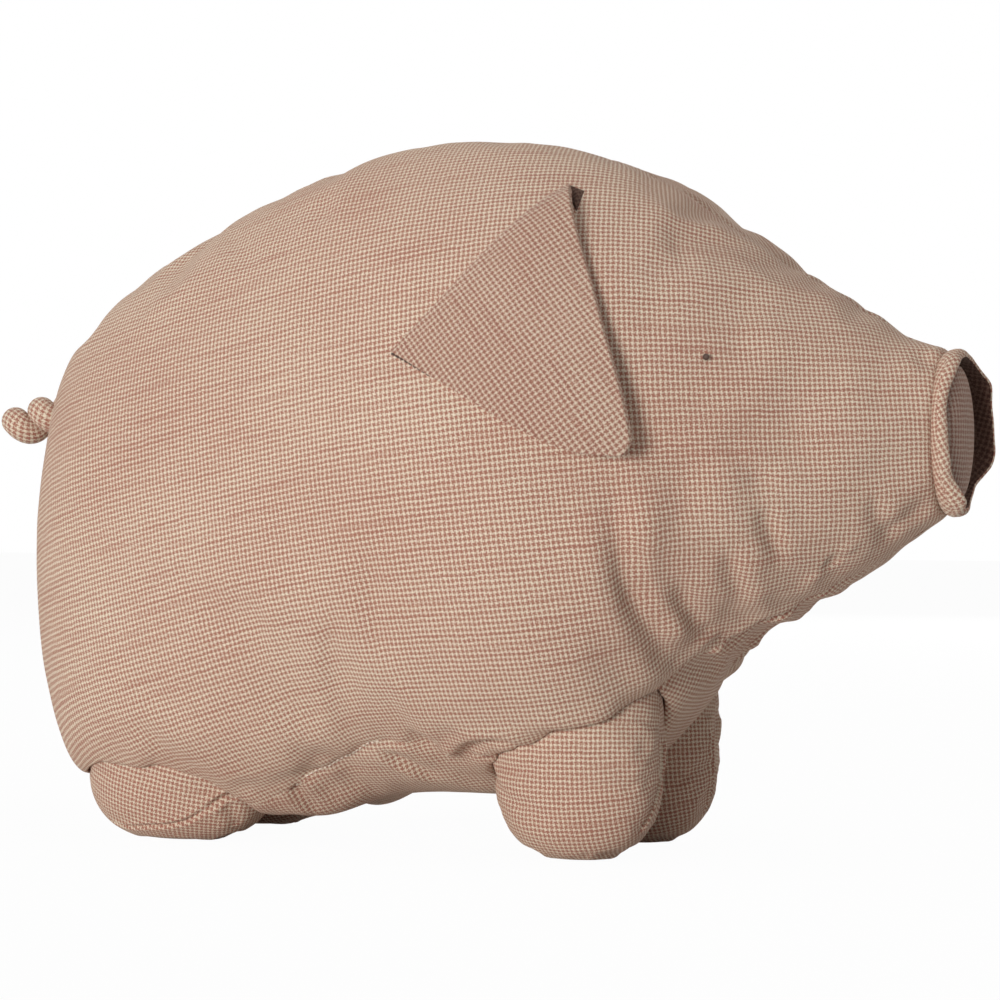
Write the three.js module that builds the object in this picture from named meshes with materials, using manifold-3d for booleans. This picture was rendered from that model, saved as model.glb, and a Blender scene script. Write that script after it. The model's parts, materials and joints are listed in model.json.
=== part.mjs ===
import * as THREE from 'three';
import { ConvexGeometry } from 'three/addons/geometries/ConvexGeometry.js';
import { mergeVertices } from 'three/addons/utils/BufferGeometryUtils.js';
import Module from 'manifold-3d';

// A stuffed cloth pig that stands on four stub legs. Millimetres, snout to +X, its left side
// to +Y, up is +Z. The origin is on the floor, under the middle of the pig's bounding box.
// Two side panels and a belly gusset are sewn round one body of stuffing. The legs bend at the
// hips, the ears lift on the edge that is sewn down, and the curled tail swings.

// Driving dimensions
const standHeight = 309;
const bodyLength = 425;
const bodyWidth = 222;
const gussetWidth = 100;
const cloth = 1.2;
const seamGap = 0.3;
const fillingGap = 0.7;

const legSpacing = 68.6;
const legWidth = 60;
const soleCut = 0.5;
const hipClearance = 0.8;
const frontLeg = { length: 74, height: 97, hip: 60, swing: 12 };
const hindLeg = { length: 91, height: 71, hip: 34, swing: 8 };

const earStandoff = 0.6;
const earTipStandoff = 16;

const snoutLipDepth = 10.5;
const snoutPleatDepth = 6.5;
const snoutRimRoll = 4.4;
const snoutPleat = 1.6;
const snoutDiscCrown = 5;
const snoutDiscEdge = 1.4;

const eyeWidth = 3.4;
const eyeHeight = 2.8;
const eyeThickness = 1.4;

const tailTube = 9.8;
const tailReach = 34;
const tailCurlWidth = 20.6;
const tailTurns = 1.9;
const tailDroop = 26;

// Shares of the body: where each station lies from rump to snout, its top and its bottom as
// shares of the standing height, its half width as a share of half the body's width, and the
// half width of the gusset there as a share of half the gusset's width.
const stationShares = [
  { along: 0, top: 0.6, bottom: 0.29, wide: 0, gusset: 0 },
  { along: 0.007, top: 0.655, bottom: 0.215, wide: 0.265, gusset: 0 },
  { along: 0.022, top: 0.7, bottom: 0.148, wide: 0.405, gusset: 0.007 },
  { along: 0.046, top: 0.742, bottom: 0.1, wide: 0.53, gusset: 0.12 },
  { along: 0.081, top: 0.785, bottom: 0.076, wide: 0.635, gusset: 0.36 },
  { along: 0.128, top: 0.828, bottom: 0.066, wide: 0.715, gusset: 0.62 },
  { along: 0.192, top: 0.87, bottom: 0.062, wide: 0.785, gusset: 0.82 },
  { along: 0.262, top: 0.918, bottom: 0.058, wide: 0.845, gusset: 0.94 },
  { along: 0.34, top: 0.958, bottom: 0.06, wide: 0.9, gusset: 1 },
  { along: 0.422, top: 0.99, bottom: 0.076, wide: 0.945, gusset: 1 },
  { along: 0.504, top: 1, bottom: 0.081, wide: 0.985, gusset: 1 },
  { along: 0.575, top: 0.994, bottom: 0.08, wide: 1, gusset: 1 },
  { along: 0.633, top: 0.977, bottom: 0.09, wide: 0.99, gusset: 0.97 },
  { along: 0.685, top: 0.949, bottom: 0.135, wide: 0.948, gusset: 0.88 },
  { along: 0.727, top: 0.919, bottom: 0.2, wide: 0.885, gusset: 0.75 },
  { along: 0.763, top: 0.883, bottom: 0.264, wide: 0.812, gusset: 0.6 },
  { along: 0.798, top: 0.85, bottom: 0.303, wide: 0.728, gusset: 0.44 },
  { along: 0.84, top: 0.811, bottom: 0.334, wide: 0.627, gusset: 0.3 },
  { along: 0.882, top: 0.772, bottom: 0.364, wide: 0.518, gusset: 0.17 },
  { along: 0.922, top: 0.734, bottom: 0.398, wide: 0.418, gusset: 0.06 },
  { along: 0.96, top: 0.704, bottom: 0.433, wide: 0.316, gusset: 0.007 },
  { along: 1, top: 0.69, bottom: 0.465, wide: 0.216, gusset: 0 },
];
const widestShare = 0.46;
const sectionPower = 2.15;
const neckStation = 14;
const panelColumns = 12;
const gussetColumns = 6;

// Shares of the body where the other pieces sit: along it, and round it from the top seam
// (0) to the belly's middle (1).
const hipShares = { front: 0.6395, hind: 0.187 };
const earShares = {
  back: { along: 0.515, round: 0.387 },
  top: { along: 0.655, round: 0.167 },
  tip: { along: 0.778, round: 0.505 },
};
const eyeShare = { along: 0.806, round: 0.374 };
const tailShare = { along: 0.002, round: 0 };
const nearbyShare = 0.01;

// A leg's rows, as shares of its height from the sole up. Its covers stop in the hip socket.
const legRowShares = [0, 0.02, 0.07, 0.17, 0.32, 0.5, 0.68, 0.83, 0.94, 1];
const coverRowShares = legRowShares.slice(0, 7);
const legPower = 2.9;
const coverColumns = 8;
const legColumns = 2 * (coverColumns - 1);

// An ear's rows, from the sewn edge towards the sharp corner that its rounded tip cuts off, each
// with the share of its width that the rounding leaves.
const earRowShares = [
  { reach: 0, width: 1 },
  { reach: 0.16, width: 1 },
  { reach: 0.32, width: 1 },
  { reach: 0.48, width: 1 },
  { reach: 0.63, width: 1 },
  { reach: 0.75, width: 1 },
  { reach: 0.81, width: 0.98 },
  { reach: 0.85, width: 0.86 },
  { reach: 0.875, width: 0.6 },
  { reach: 0.887, width: 0.2 },
];
const earColumns = 8;
const earLiftPower = 1.5;

const rimSteps = 40;
const rimSectionSteps = 8;
const pleatPower = 8;
const discRows = 5;
const discColumns = 28;
const tailSteps = 48;
const tailSides = 10;
const tailEaseShare = 1.2;
const tailClosingShare = 0.9;
const tailSeatShare = 0.3;
const eyeColumns = 10;
const eyeRows = 6;

const colours = {
  cloth: 0xb8937f,
  lining: 0xa9836f,
  disc: 0x8f7567,
  filling: 0xf1eee6,
  thread: 0x4a352b,
};
const roughness = { cloth: 0.92, filling: 1, thread: 0.6 };
const materialOf = (colour, rough) =>
  new THREE.MeshStandardMaterial({ color: colours[colour], roughness: rough, metalness: 0 });
const wovenCloth = (colour = 'cloth') => materialOf(colour, roughness.cloth);

const wasm = await Module();
wasm.setup();

const pig = new THREE.Group();
const rightSide = -1;
const leftSide = 1;
const sides = [
  { name: 'right', sign: rightSide },
  { name: 'left', sign: leftSide },
];

function addMesh(name, geometry, material, parent = pig) {
  const mesh = new THREE.Mesh(geometry, material);
  mesh.name = name;
  parent.add(mesh);
  return mesh;
}

// A geometry from points and triangles, turned inside out if its faces point in.
function geometryFrom(points, triangles) {
  let volume = 0;
  for (const [a, b, c] of triangles) {
    volume += points[a].dot(points[b].clone().cross(points[c]));
  }
  const geometry = new THREE.BufferGeometry();
  geometry.setAttribute('position', new THREE.Float32BufferAttribute(
    points.flatMap((point) => point.toArray()), 3));
  geometry.setIndex(triangles.flatMap(([a, b, c]) => (volume > 0 ? [a, b, c] : [a, c, b])));
  geometry.computeVertexNormals();
  return geometry;
}

// The two triangles of a quad, parted along its shorter diagonal, without those that a
// collapsed side leaves empty.
function quad(points, a, b, c, d) {
  const parted = points[a].distanceTo(points[c]) <= points[b].distanceTo(points[d])
    ? [[a, b, c], [a, c, d]]
    : [[a, b, d], [b, c, d]];
  return parted.filter(([i, j, k]) =>
    !points[i].equals(points[j]) && !points[j].equals(points[k]) && !points[k].equals(points[i]));
}

// A thin closed shell between an outer and an inner grid of points.
function shell(rows, columns, pointAt, thickness) {
  const points = [];
  for (const depth of [0, thickness]) {
    for (let row = 0; row < rows; row += 1) {
      for (let column = 0; column < columns; column += 1) {
        points.push(pointAt(row, column, depth));
      }
    }
  }
  const outer = (row, column) => row * columns + column;
  const inner = (row, column) => rows * columns + outer(row, column);
  const triangles = [];
  for (let row = 0; row + 1 < rows; row += 1) {
    for (let column = 0; column + 1 < columns; column += 1) {
      triangles.push(...quad(points, outer(row, column), outer(row, column + 1),
        outer(row + 1, column + 1), outer(row + 1, column)));
      triangles.push(...quad(points, inner(row, column), inner(row + 1, column),
        inner(row + 1, column + 1), inner(row, column + 1)));
    }
  }
  const edge = (from, to) => {
    triangles.push(...quad(points, outer(...to), outer(...from), inner(...from), inner(...to)));
  };
  for (let row = 0; row + 1 < rows; row += 1) {
    edge([row + 1, 0], [row, 0]);
    edge([row, columns - 1], [row + 1, columns - 1]);
  }
  for (let column = 0; column + 1 < columns; column += 1) {
    edge([0, column], [0, column + 1]);
    edge([rows - 1, column + 1], [rows - 1, column]);
  }
  return geometryFrom(points, triangles);
}

// A closed solid through rings of points, each end closed to the middle of its ring.
function loft(rings) {
  const points = rings.flat();
  const count = rings[0].length;
  const triangles = [];
  for (let ring = 0; ring + 1 < rings.length; ring += 1) {
    for (let step = 0; step < count; step += 1) {
      const next = (step + 1) % count;
      triangles.push(...quad(points, ring * count + step, ring * count + next,
        (ring + 1) * count + next, (ring + 1) * count + step));
    }
  }
  const capEnd = (ring, reversed) => {
    const middle = new THREE.Vector3();
    rings[ring].forEach((point) => middle.addScaledVector(point, 1 / count));
    const hub = points.push(middle) - 1;
    for (let step = 0; step < count; step += 1) {
      const next = (step + 1) % count;
      const pair = reversed ? [next, step] : [step, next];
      triangles.push([hub, ring * count + pair[1], ring * count + pair[0]]);
    }
  };
  capEnd(0, false);
  capEnd(rings.length - 1, true);
  return geometryFrom(points, triangles);
}

// The closed solid of a geometry, its shared points merged and its empty triangles dropped.
function solidOf(geometry) {
  const bare = geometry.clone();
  bare.deleteAttribute('normal');
  const merged = mergeVertices(bare);
  const index = merged.index.array;
  const kept = [];
  for (let corner = 0; corner < index.length; corner += 3) {
    const [a, b, c] = index.slice(corner, corner + 3);
    if (a !== b && b !== c && c !== a) kept.push(a, b, c);
  }
  return new wasm.Manifold(new wasm.Mesh({
    numProp: 3,
    vertProperties: new Float32Array(merged.attributes.position.array),
    triVerts: new Uint32Array(kept),
  }));
}

function geometryOf(solid) {
  const mesh = solid.getMesh();
  const geometry = new THREE.BufferGeometry();
  geometry.setAttribute('position', new THREE.BufferAttribute(mesh.vertProperties, 3));
  geometry.setIndex(new THREE.BufferAttribute(mesh.triVerts, 1));
  geometry.computeVertexNormals();
  return geometry;
}

// The station at a share along the body, between its two neighbours in the table.
function stationAt(along) {
  const after = Math.max(1, stationShares.findIndex((station) => station.along >= along));
  const [from, to] = [stationShares[after - 1], stationShares[after]];
  const mix = (along - from.along) / (to.along - from.along);
  const between = (key) => THREE.MathUtils.lerp(from[key], to[key], mix);
  return {
    along, top: between('top'), bottom: between('bottom'),
    wide: between('wide'), gusset: between('gusset'),
  };
}

// The body's section at a station, drawn in by a depth.
function sectionOf(station, depth) {
  const top = station.top * standHeight - depth;
  const bottom = station.bottom * standHeight + depth;
  const middle = THREE.MathUtils.lerp(bottom, top, widestShare);
  return {
    x: station.along * bodyLength + depth * (1 - station.along),
    halfWidth: Math.max(station.wide * bodyWidth / 2 - depth, 0),
    middle, upper: top - middle, lower: middle - bottom,
  };
}

// A point on the section, from the top (angle 0) round to the bottom (angle pi).
function sectionPoint(section, sign, angle) {
  const sine = Math.max(Math.sin(angle), 0) ** (2 / sectionPower);
  const cosine = Math.cos(angle);
  const rise = Math.sign(cosine) * Math.abs(cosine) ** (2 / sectionPower);
  return new THREE.Vector3(
    section.x,
    sign * section.halfWidth * sine,
    section.middle + (rise > 0 ? section.upper : section.lower) * rise,
  );
}

const bodyPoint = (share, sign, depth) =>
  sectionPoint(sectionOf(stationAt(share.along), depth), sign, share.round * Math.PI);

// The angle at which the lower half of a section is a given distance from the middle plane.
function angleAtHalfWidth(station, reach) {
  const halfWidth = station.wide * bodyWidth / 2;
  if (reach <= 0 || halfWidth <= reach) return Math.PI;
  return Math.PI - Math.asin((reach / halfWidth) ** (sectionPower / 2));
}

// Legs: a rounded stub whose rounding dips a sole's cut below the floor and is cut flat there.
function legPoint(leg, share, angle, depth) {
  const half = (leg.height + soleCut) / 2;
  const height = share * leg.height;
  const offMiddle = Math.abs((height + soleCut - half) / half);
  const round = Math.max(1 - offMiddle ** legPower, 0) ** (1 / legPower);
  const spread = (size) => Math.max(size / 2 - depth, 0) * round;
  return new THREE.Vector3(
    spread(leg.length) * Math.cos(angle),
    spread(legWidth) * Math.sin(angle),
    depth + height * (leg.height - 2 * depth) / leg.height,
  );
}

function legSolid(leg, depth) {
  const rings = legRowShares.map((share) => {
    const ring = [];
    for (let column = 0; column < legColumns; column += 1) {
      ring.push(legPoint(leg, share, 2 * Math.PI * column / legColumns, depth));
    }
    return ring;
  });
  return loft(rings);
}

// Half of a leg's cover: its first row is the seam across the sole.
function legCover(leg, sign) {
  const pointAt = (row, column, depth) => {
    const angle = Math.PI * column / (coverColumns - 1);
    const point = legPoint(leg, coverRowShares[Math.max(row - 1, 0)], angle, depth);
    const reach = row === 0 ? 0 : point.y;
    point.y = sign * Math.max(reach, seamGap / 2);
    return point;
  };
  return shell(coverRowShares.length + 1, coverColumns, pointAt, cloth);
}

// The room that a leg sweeps as it swings about its hip, with its running clearance.
function legSweep(leg) {
  const grown = legSolid(leg, -hipClearance).attributes.position;
  const swept = [];
  for (const turn of [-leg.swing, 0, leg.swing]) {
    const angle = THREE.MathUtils.degToRad(turn);
    for (let place = 0; place < grown.count; place += 1) {
      const point = new THREE.Vector3().fromBufferAttribute(grown, place);
      const [x, z] = [point.x, point.z - leg.hip];
      swept.push(new THREE.Vector3(
        x * Math.cos(angle) + z * Math.sin(angle),
        point.y,
        leg.hip + z * Math.cos(angle) - x * Math.sin(angle),
      ));
    }
  }
  return solidOf(new ConvexGeometry(swept));
}

const legs = [];
for (const [end, leg] of [['front', frontLeg], ['hind', hindLeg]]) {
  for (const side of sides) {
    legs.push({
      name: `leg_${end}_${side.name}`, leg, side,
      x: hipShares[end] * bodyLength, y: side.sign * legSpacing / 2,
    });
  }
}

let sockets = null;
for (const { leg, x, y } of legs) {
  const socket = legSweep(leg).translate([x, y, 0]);
  sockets = sockets ? sockets.add(socket) : socket;
}
const withoutSockets = (geometry) => geometryOf(solidOf(geometry).subtract(sockets));

// Side panels, from the top seam down to the gusset's edge
for (const side of sides) {
  const pointAt = (row, column, depth) => {
    const station = stationShares[row];
    const reach = station.gusset > 0 ? station.gusset * gussetWidth / 2 + seamGap / 2 : 0;
    const angle = angleAtHalfWidth(station, reach) * column / (panelColumns - 1);
    const point = sectionPoint(sectionOf(station, depth), side.sign, angle);
    point.y = side.sign * Math.max(Math.abs(point.y), seamGap / 2);
    return point;
  };
  const panel = shell(stationShares.length, panelColumns, pointAt, cloth);
  addMesh(`side_panel_${side.name}`, withoutSockets(panel), wovenCloth());
}

// Belly gusset, between the two panels from rump to chin
const gussetStations = stationShares.filter((station) => station.gusset > 0);
const gussetPoint = (row, column, depth) => {
  const station = gussetStations[row];
  const reach = station.gusset * gussetWidth / 2 - seamGap / 2;
  const across = 2 * column / (gussetColumns - 1) - 1;
  const angle = angleAtHalfWidth(station, reach * Math.abs(across));
  return sectionPoint(sectionOf(station, depth), Math.sign(across), angle);
};
const gusset = shell(gussetStations.length, gussetColumns, gussetPoint, cloth);
addMesh('belly_gusset', withoutSockets(gusset), wovenCloth());

// Stuffing, in two wads that meet at the neck
const fillingDepth = cloth + fillingGap;
function fillingRing(station, shift) {
  const reach = station.gusset * gussetWidth / 2;
  const seam = angleAtHalfWidth(station, reach);
  const panelAngles = Array.from({ length: panelColumns }, (_, column) =>
    seam * column / (panelColumns - 1));
  const gussetAngles = Array.from({ length: gussetColumns / 2 - 1 }, (_, column) =>
    angleAtHalfWidth(station, reach * (1 - 2 * (column + 1) / (gussetColumns - 1))));
  const angles = [...panelAngles, ...gussetAngles];
  const section = sectionOf(station, fillingDepth);
  const right = angles.map((angle) => sectionPoint(section, rightSide, angle));
  const left = angles.map((angle) => sectionPoint(section, leftSide, angle)).reverse();
  return [...right, ...left].map((point) => point.setX(point.x + shift));
}
const bodyRings = stationShares.slice(0, neckStation + 1).map((station) =>
  fillingRing(station, 0));
const headRings = stationShares.slice(neckStation).map((station, row) =>
  fillingRing(station, row === 0 ? seamGap : 0));
const fillingMaterial = () => materialOf('filling', roughness.filling);
addMesh('body_filling', withoutSockets(loft(bodyRings)), fillingMaterial());
addMesh('head_filling', withoutSockets(loft(headRings)), fillingMaterial());

// Legs, each a cover in two halves round its own stuffing
for (const { name, leg, side, x, y } of legs) {
  const group = new THREE.Group();
  group.position.set(x, y, 0);
  pig.add(group);
  addMesh(`${name}_outer_cover`, legCover(leg, side.sign), wovenCloth(), group);
  addMesh(`${name}_inner_cover`, legCover(leg, -side.sign), wovenCloth(), group);
  addMesh(`${name}_filling`, legSolid(leg, fillingDepth), fillingMaterial(), group);
}

// Ears, each an outer leaf and a lining, lying on the side of the head
for (const side of sides) {
  const { back, top, tip } = earShares;
  const leafPoint = (innerDepth) => (row, column, depth) => {
    const { reach, width } = earRowShares[row];
    const across = 0.5 + width * (column / (earColumns - 1) - 0.5);
    const along = THREE.MathUtils.lerp(
      THREE.MathUtils.lerp(back.along, top.along, across), tip.along, reach);
    const round = THREE.MathUtils.lerp(
      THREE.MathUtils.lerp(back.round, top.round, across), tip.round, reach);
    const lift = earStandoff + earTipStandoff * reach ** earLiftPower;
    return bodyPoint({ along, round }, side.sign, depth - cloth - innerDepth - lift);
  };
  addMesh(`ear_${side.name}_leaf`,
    shell(earRowShares.length, earColumns, leafPoint(cloth + seamGap), cloth), wovenCloth());
  addMesh(`ear_${side.name}_lining`,
    shell(earRowShares.length, earColumns, leafPoint(0), cloth), wovenCloth('lining'));
}

// Snout: a domed disc inside a rolled rim that is drawn in by a pleat at top and bottom
const snoutSection = sectionOf(stationShares[stationShares.length - 1], 0);
const snoutX = bodyLength + seamGap;
const snoutMiddle = snoutSection.middle + (snoutSection.upper - snoutSection.lower) / 2;
const snoutHalfHeight = (snoutSection.upper + snoutSection.lower) / 2;
const rimRoll = snoutRimRoll / 2;
const rimPoints = [];
const rimTriangles = [];
for (let step = 0; step < rimSteps; step += 1) {
  const turn = 2 * Math.PI * step / rimSteps;
  const drawnIn = snoutPleat * Math.cos(turn) ** pleatPower;
  const depth = THREE.MathUtils.lerp(snoutPleatDepth, snoutLipDepth, Math.sin(turn) ** 2);
  for (let corner = 0; corner < rimSectionSteps; corner += 1) {
    const angle = 2 * Math.PI * (corner + 0.5) / rimSectionSteps;
    const outward = rimRoll * Math.cos(angle) - rimRoll - drawnIn;
    rimPoints.push(new THREE.Vector3(
      snoutX + depth / 2 * (1 + Math.sin(angle) / Math.cos(Math.PI / rimSectionSteps)),
      (snoutSection.halfWidth + outward) * Math.sin(turn),
      snoutMiddle + (snoutHalfHeight + outward) * Math.cos(turn),
    ));
    const [a, b] = [step, (step + 1) % rimSteps].map((at) => at * rimSectionSteps + corner);
    const after = (corner + 1) % rimSectionSteps - corner;
    rimTriangles.push([a, b, b + after], [a, b + after, a + after]);
  }
}
addMesh('snout_rim', geometryFrom(rimPoints, rimTriangles), wovenCloth());

const discInset = snoutRimRoll + snoutPleat + seamGap;
const discRings = [0, ...Array(discRows).keys()].map((row, place) => {
  const slope = place === 0 ? 0 : Math.PI / 2 * row / discRows;
  const ring = [];
  for (let column = 0; column < discColumns; column += 1) {
    const turn = 2 * Math.PI * column / discColumns;
    ring.push(new THREE.Vector3(
      snoutX + (place === 0 ? 0 : snoutDiscEdge + snoutDiscCrown * Math.sin(slope)),
      (snoutSection.halfWidth - discInset) * Math.cos(slope) * Math.sin(turn),
      snoutMiddle + (snoutHalfHeight - discInset) * Math.cos(slope) * Math.cos(turn),
    ));
  }
  return ring;
});
addMesh('snout_disc', loft(discRings), wovenCloth('disc'));

// Eyes: one embroidered knot on each side of the head
for (const side of sides) {
  const geometry = new THREE.SphereGeometry(1 / 2, eyeColumns, eyeRows);
  geometry.scale(eyeWidth, eyeThickness, eyeHeight);
  const eye = addMesh(`eye_${side.name}`, geometry, materialOf('thread', roughness.thread));
  const seat = bodyPoint(eyeShare, side.sign, 0);
  const ahead = bodyPoint({ ...eyeShare, along: eyeShare.along + nearbyShare }, side.sign, 0);
  const below = bodyPoint({ ...eyeShare, round: eyeShare.round + nearbyShare }, side.sign, 0);
  const outward = ahead.sub(seat).cross(below.sub(seat)).normalize();
  if (outward.y * side.sign < 0) outward.negate();
  eye.position.copy(seat).addScaledVector(outward, eyeThickness / 2 + seamGap);
  eye.quaternion.setFromUnitVectors(new THREE.Vector3(0, side.sign, 0), outward);
}

// Tail: one cloth tube, from its seat on the rump into a tight curl with a round end
const tailRadius = tailTube / 2;
const curlRadius = tailCurlWidth / 2 - tailRadius;
const droop = THREE.MathUtils.degToRad(tailDroop);
const tailAxis = new THREE.Vector3(-Math.cos(droop), 0, -Math.sin(droop));
const tailSide = new THREE.Vector3(0, 1, 0);
const tailUp = tailSide.clone().cross(tailAxis).negate();

// The tube leaves the rump straight and turns ever more tightly, up to an even curl.
class TailCurve extends THREE.Curve {
  getPoint(share) {
    const eased = share ** 2 / (share + tailEaseShare) * (1 + tailEaseShare);
    const angle = 2 * Math.PI * tailTurns * eased;
    return tailAxis.clone().multiplyScalar(share * tailReach)
      .addScaledVector(tailUp, curlRadius * (Math.cos(angle) - 1))
      .addScaledVector(tailSide, curlRadius * Math.sin(angle));
  }
}

const tailCurve = new TailCurve();
const tailLength = tailCurve.getLength();
const tailFrames = tailCurve.computeFrenetFrames(tailSteps);
const tailRings = [];
for (let step = 0; step <= tailSteps; step += 1) {
  const share = step / tailSteps;
  const toEnd = Math.min(share, 1 - share) * tailLength;
  const rounded = Math.min(toEnd / tailRadius, 1);
  const radius = tailRadius * Math.sqrt(1 - tailClosingShare * (1 - rounded) ** 2);
  const centre = tailCurve.getPointAt(share);
  const ring = [];
  for (let side = 0; side < tailSides; side += 1) {
    const angle = 2 * Math.PI * side / tailSides;
    ring.push(centre.clone()
      .addScaledVector(tailFrames.normals[step], radius * Math.cos(angle))
      .addScaledVector(tailFrames.binormals[step], radius * Math.sin(angle)));
  }
  tailRings.push(ring);
}
const tail = addMesh('tail', loft(tailRings), wovenCloth());
const rumpPoints = [0, 1].map((row) => sectionPoint(sectionOf(stationShares[row], 0), leftSide, 0));
const rumpSlope = rumpPoints[1].clone().sub(rumpPoints[0]).normalize();
const rumpOutward = new THREE.Vector3(-rumpSlope.z, 0, rumpSlope.x);
tail.position.copy(bodyPoint(tailShare, leftSide, 0))
  .addScaledVector(rumpOutward, tailRadius * tailSeatShare + seamGap);

// The curl's least gap to itself, measured between points that lie over a turn's half apart
let leastGap = Infinity;
for (let from = 0; from <= tailSteps; from += 1) {
  for (let to = from + 1; to <= tailSteps; to += 1) {
    const apart = (to - from) / tailSteps * tailLength;
    const distance = tailCurve.getPointAt(from / tailSteps)
      .distanceTo(tailCurve.getPointAt(to / tailSteps));
    if (apart > Math.PI * curlRadius) leastGap = Math.min(leastGap, distance - tailTube);
  }
}
console.log(`least gap of the tail's curl to itself: ${leastGap.toFixed(2)} mm`);

const bounds = new THREE.Box3().setFromObject(pig);
pig.position.set(-(bounds.min.x + bounds.max.x) / 2, 0, -bounds.min.z);

export default pig;
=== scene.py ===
# %% [markdown]
# # A stuffed cloth pig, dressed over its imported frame
# The frame holds the pig's plain solids at their real size, with its joints. Each step below
# makes one piece of the real toy: the stuffed cloth body, the four legs, the ears, the snout,
# the eyes and the tail. All of them are cut from one woven check cloth, so most of the work is
# in two places: the folds that stuffing makes in cloth, and the weave itself.

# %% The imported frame
import json
import math

import bmesh
import bpy
import numpy as np
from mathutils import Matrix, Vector, noise
from mathutils.bvhtree import BVHTree

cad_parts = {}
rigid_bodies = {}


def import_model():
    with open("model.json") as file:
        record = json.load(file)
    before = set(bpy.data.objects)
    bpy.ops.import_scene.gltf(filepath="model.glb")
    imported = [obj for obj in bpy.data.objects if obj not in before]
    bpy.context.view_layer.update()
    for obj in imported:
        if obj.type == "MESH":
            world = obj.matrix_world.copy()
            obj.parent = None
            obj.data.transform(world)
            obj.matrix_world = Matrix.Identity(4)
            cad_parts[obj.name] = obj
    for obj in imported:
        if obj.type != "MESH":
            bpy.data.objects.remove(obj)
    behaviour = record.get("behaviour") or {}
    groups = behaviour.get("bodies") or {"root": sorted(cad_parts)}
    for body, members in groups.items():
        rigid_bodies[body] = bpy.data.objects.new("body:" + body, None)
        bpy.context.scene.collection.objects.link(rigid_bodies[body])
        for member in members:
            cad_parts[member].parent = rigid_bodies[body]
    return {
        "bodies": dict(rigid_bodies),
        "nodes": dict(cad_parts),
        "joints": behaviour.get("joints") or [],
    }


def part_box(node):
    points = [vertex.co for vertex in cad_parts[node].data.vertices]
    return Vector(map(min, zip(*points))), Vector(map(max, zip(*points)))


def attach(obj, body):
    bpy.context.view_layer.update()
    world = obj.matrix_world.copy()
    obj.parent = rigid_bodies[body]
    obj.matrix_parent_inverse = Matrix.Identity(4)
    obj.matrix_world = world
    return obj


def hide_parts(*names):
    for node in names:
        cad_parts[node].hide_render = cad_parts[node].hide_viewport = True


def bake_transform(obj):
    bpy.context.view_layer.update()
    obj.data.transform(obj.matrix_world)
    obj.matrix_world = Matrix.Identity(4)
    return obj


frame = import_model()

MM = 0.001
RIGHT, LEFT = -1, 1
SIDES = {"right": RIGHT, "left": LEFT}
MIRROR = np.array([1, -1, 1])
packed = [*frame["nodes"].values(), *frame["bodies"].values()]
for leftover in [item for item in bpy.data.objects if item not in packed]:
    bpy.data.objects.remove(leftover)
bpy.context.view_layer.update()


def placed(name, data):
    """Puts a mesh, lamp or camera into the scene as an object."""
    made = bpy.data.objects.new(name, data)
    bpy.context.collection.objects.link(made)
    return made


# %% [markdown]
# ## The camera
# The photograph is taken from the pig's right, turned towards its snout, with the lens level
# with the middle of its body. All the feet stand on one line in it, which fixes the height.

# %% The camera
IMAGE_SIZE = 1000
PIXEL = 0.44 * MM
CAMERA_DISTANCE = 1.3
CAMERA_AZIMUTH = math.radians(24)
CAMERA_TARGET = np.array([0.0208, 0, 0.151])
SENSOR = 36

back = np.array([math.sin(CAMERA_AZIMUTH), -math.cos(CAMERA_AZIMUTH), 0])
across = np.array([math.cos(CAMERA_AZIMUTH), math.sin(CAMERA_AZIMUTH), 0])
camera_place = CAMERA_TARGET + back * CAMERA_DISTANCE
camera = placed("camera", bpy.data.cameras.new("camera"))
camera.data.sensor_width = SENSOR
camera.data.lens = SENSOR * CAMERA_DISTANCE / (IMAGE_SIZE * PIXEL)
camera.location = camera_place
camera.rotation_euler = Vector(-back).to_track_quat("-Z", "Y").to_euler()
bpy.context.scene.camera = camera


def sight_line(x, y):
    """The direction in which the camera sees a pixel of the photograph."""
    middle = IMAGE_SIZE / 2
    seen = across * (x - middle) * PIXEL - np.array([0, 0, 1]) * (y - middle) * PIXEL
    return Vector(seen - back * CAMERA_DISTANCE).normalized()


print(f"camera: {camera.data.lens:.1f} mm lens, {CAMERA_DISTANCE} m away")

# %% [markdown]
# ## Light, floor and background
# A large soft light stands left of the camera, level with the pig, so the flank is bright and
# the snout's end, which is turned away from it, is in shade. Two weaker ones stand higher, behind
# on the left and on the right, for the rump and the back, and one lights the far side, which the
# camera does not see. The world fills the shadows a little.
# The floor and the world show white to the camera, without lighting the pig more.

# %% Light, floor and background
# Metres right of the camera's target, towards the camera and up, then size and power
SOFT_LIGHTS = {
    "front_softbox": ((-1.3, 2.07, 0.14), 0.8, 50.5),
    "rear_softbox": ((-1.9, -0.34, 1.12), 1.4, 10),
    "top_softbox": ((0.87, 0.5, 1.73), 1.3, 14),
    "back_softbox": ((0.9, -2.2, 0.7), 1.3, 22),
}
WORLD_STRENGTH = 0.11
FLOOR_WHITE = 0.8
FLOOR_WHITENING = 0.97
FLOOR_HALF = 6


def add_node(tree, kind, settings=None, inputs=None):
    """Adds a node with its settings. An input is a value or the socket that feeds it."""
    node = tree.nodes.new(kind)
    for key, value in (settings or {}).items():
        setattr(node, key, value)
    for key, item in (inputs or {}).items():
        if isinstance(item, bpy.types.NodeSocket):
            tree.links.new(item, node.inputs[key])
        else:
            node.inputs[key].default_value = item
    return node


def empty_tree(owner):
    """The node tree of a material or the world, with nothing in it yet."""
    owner.use_nodes = True
    owner.node_tree.nodes.clear()
    return owner.node_tree


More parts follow.
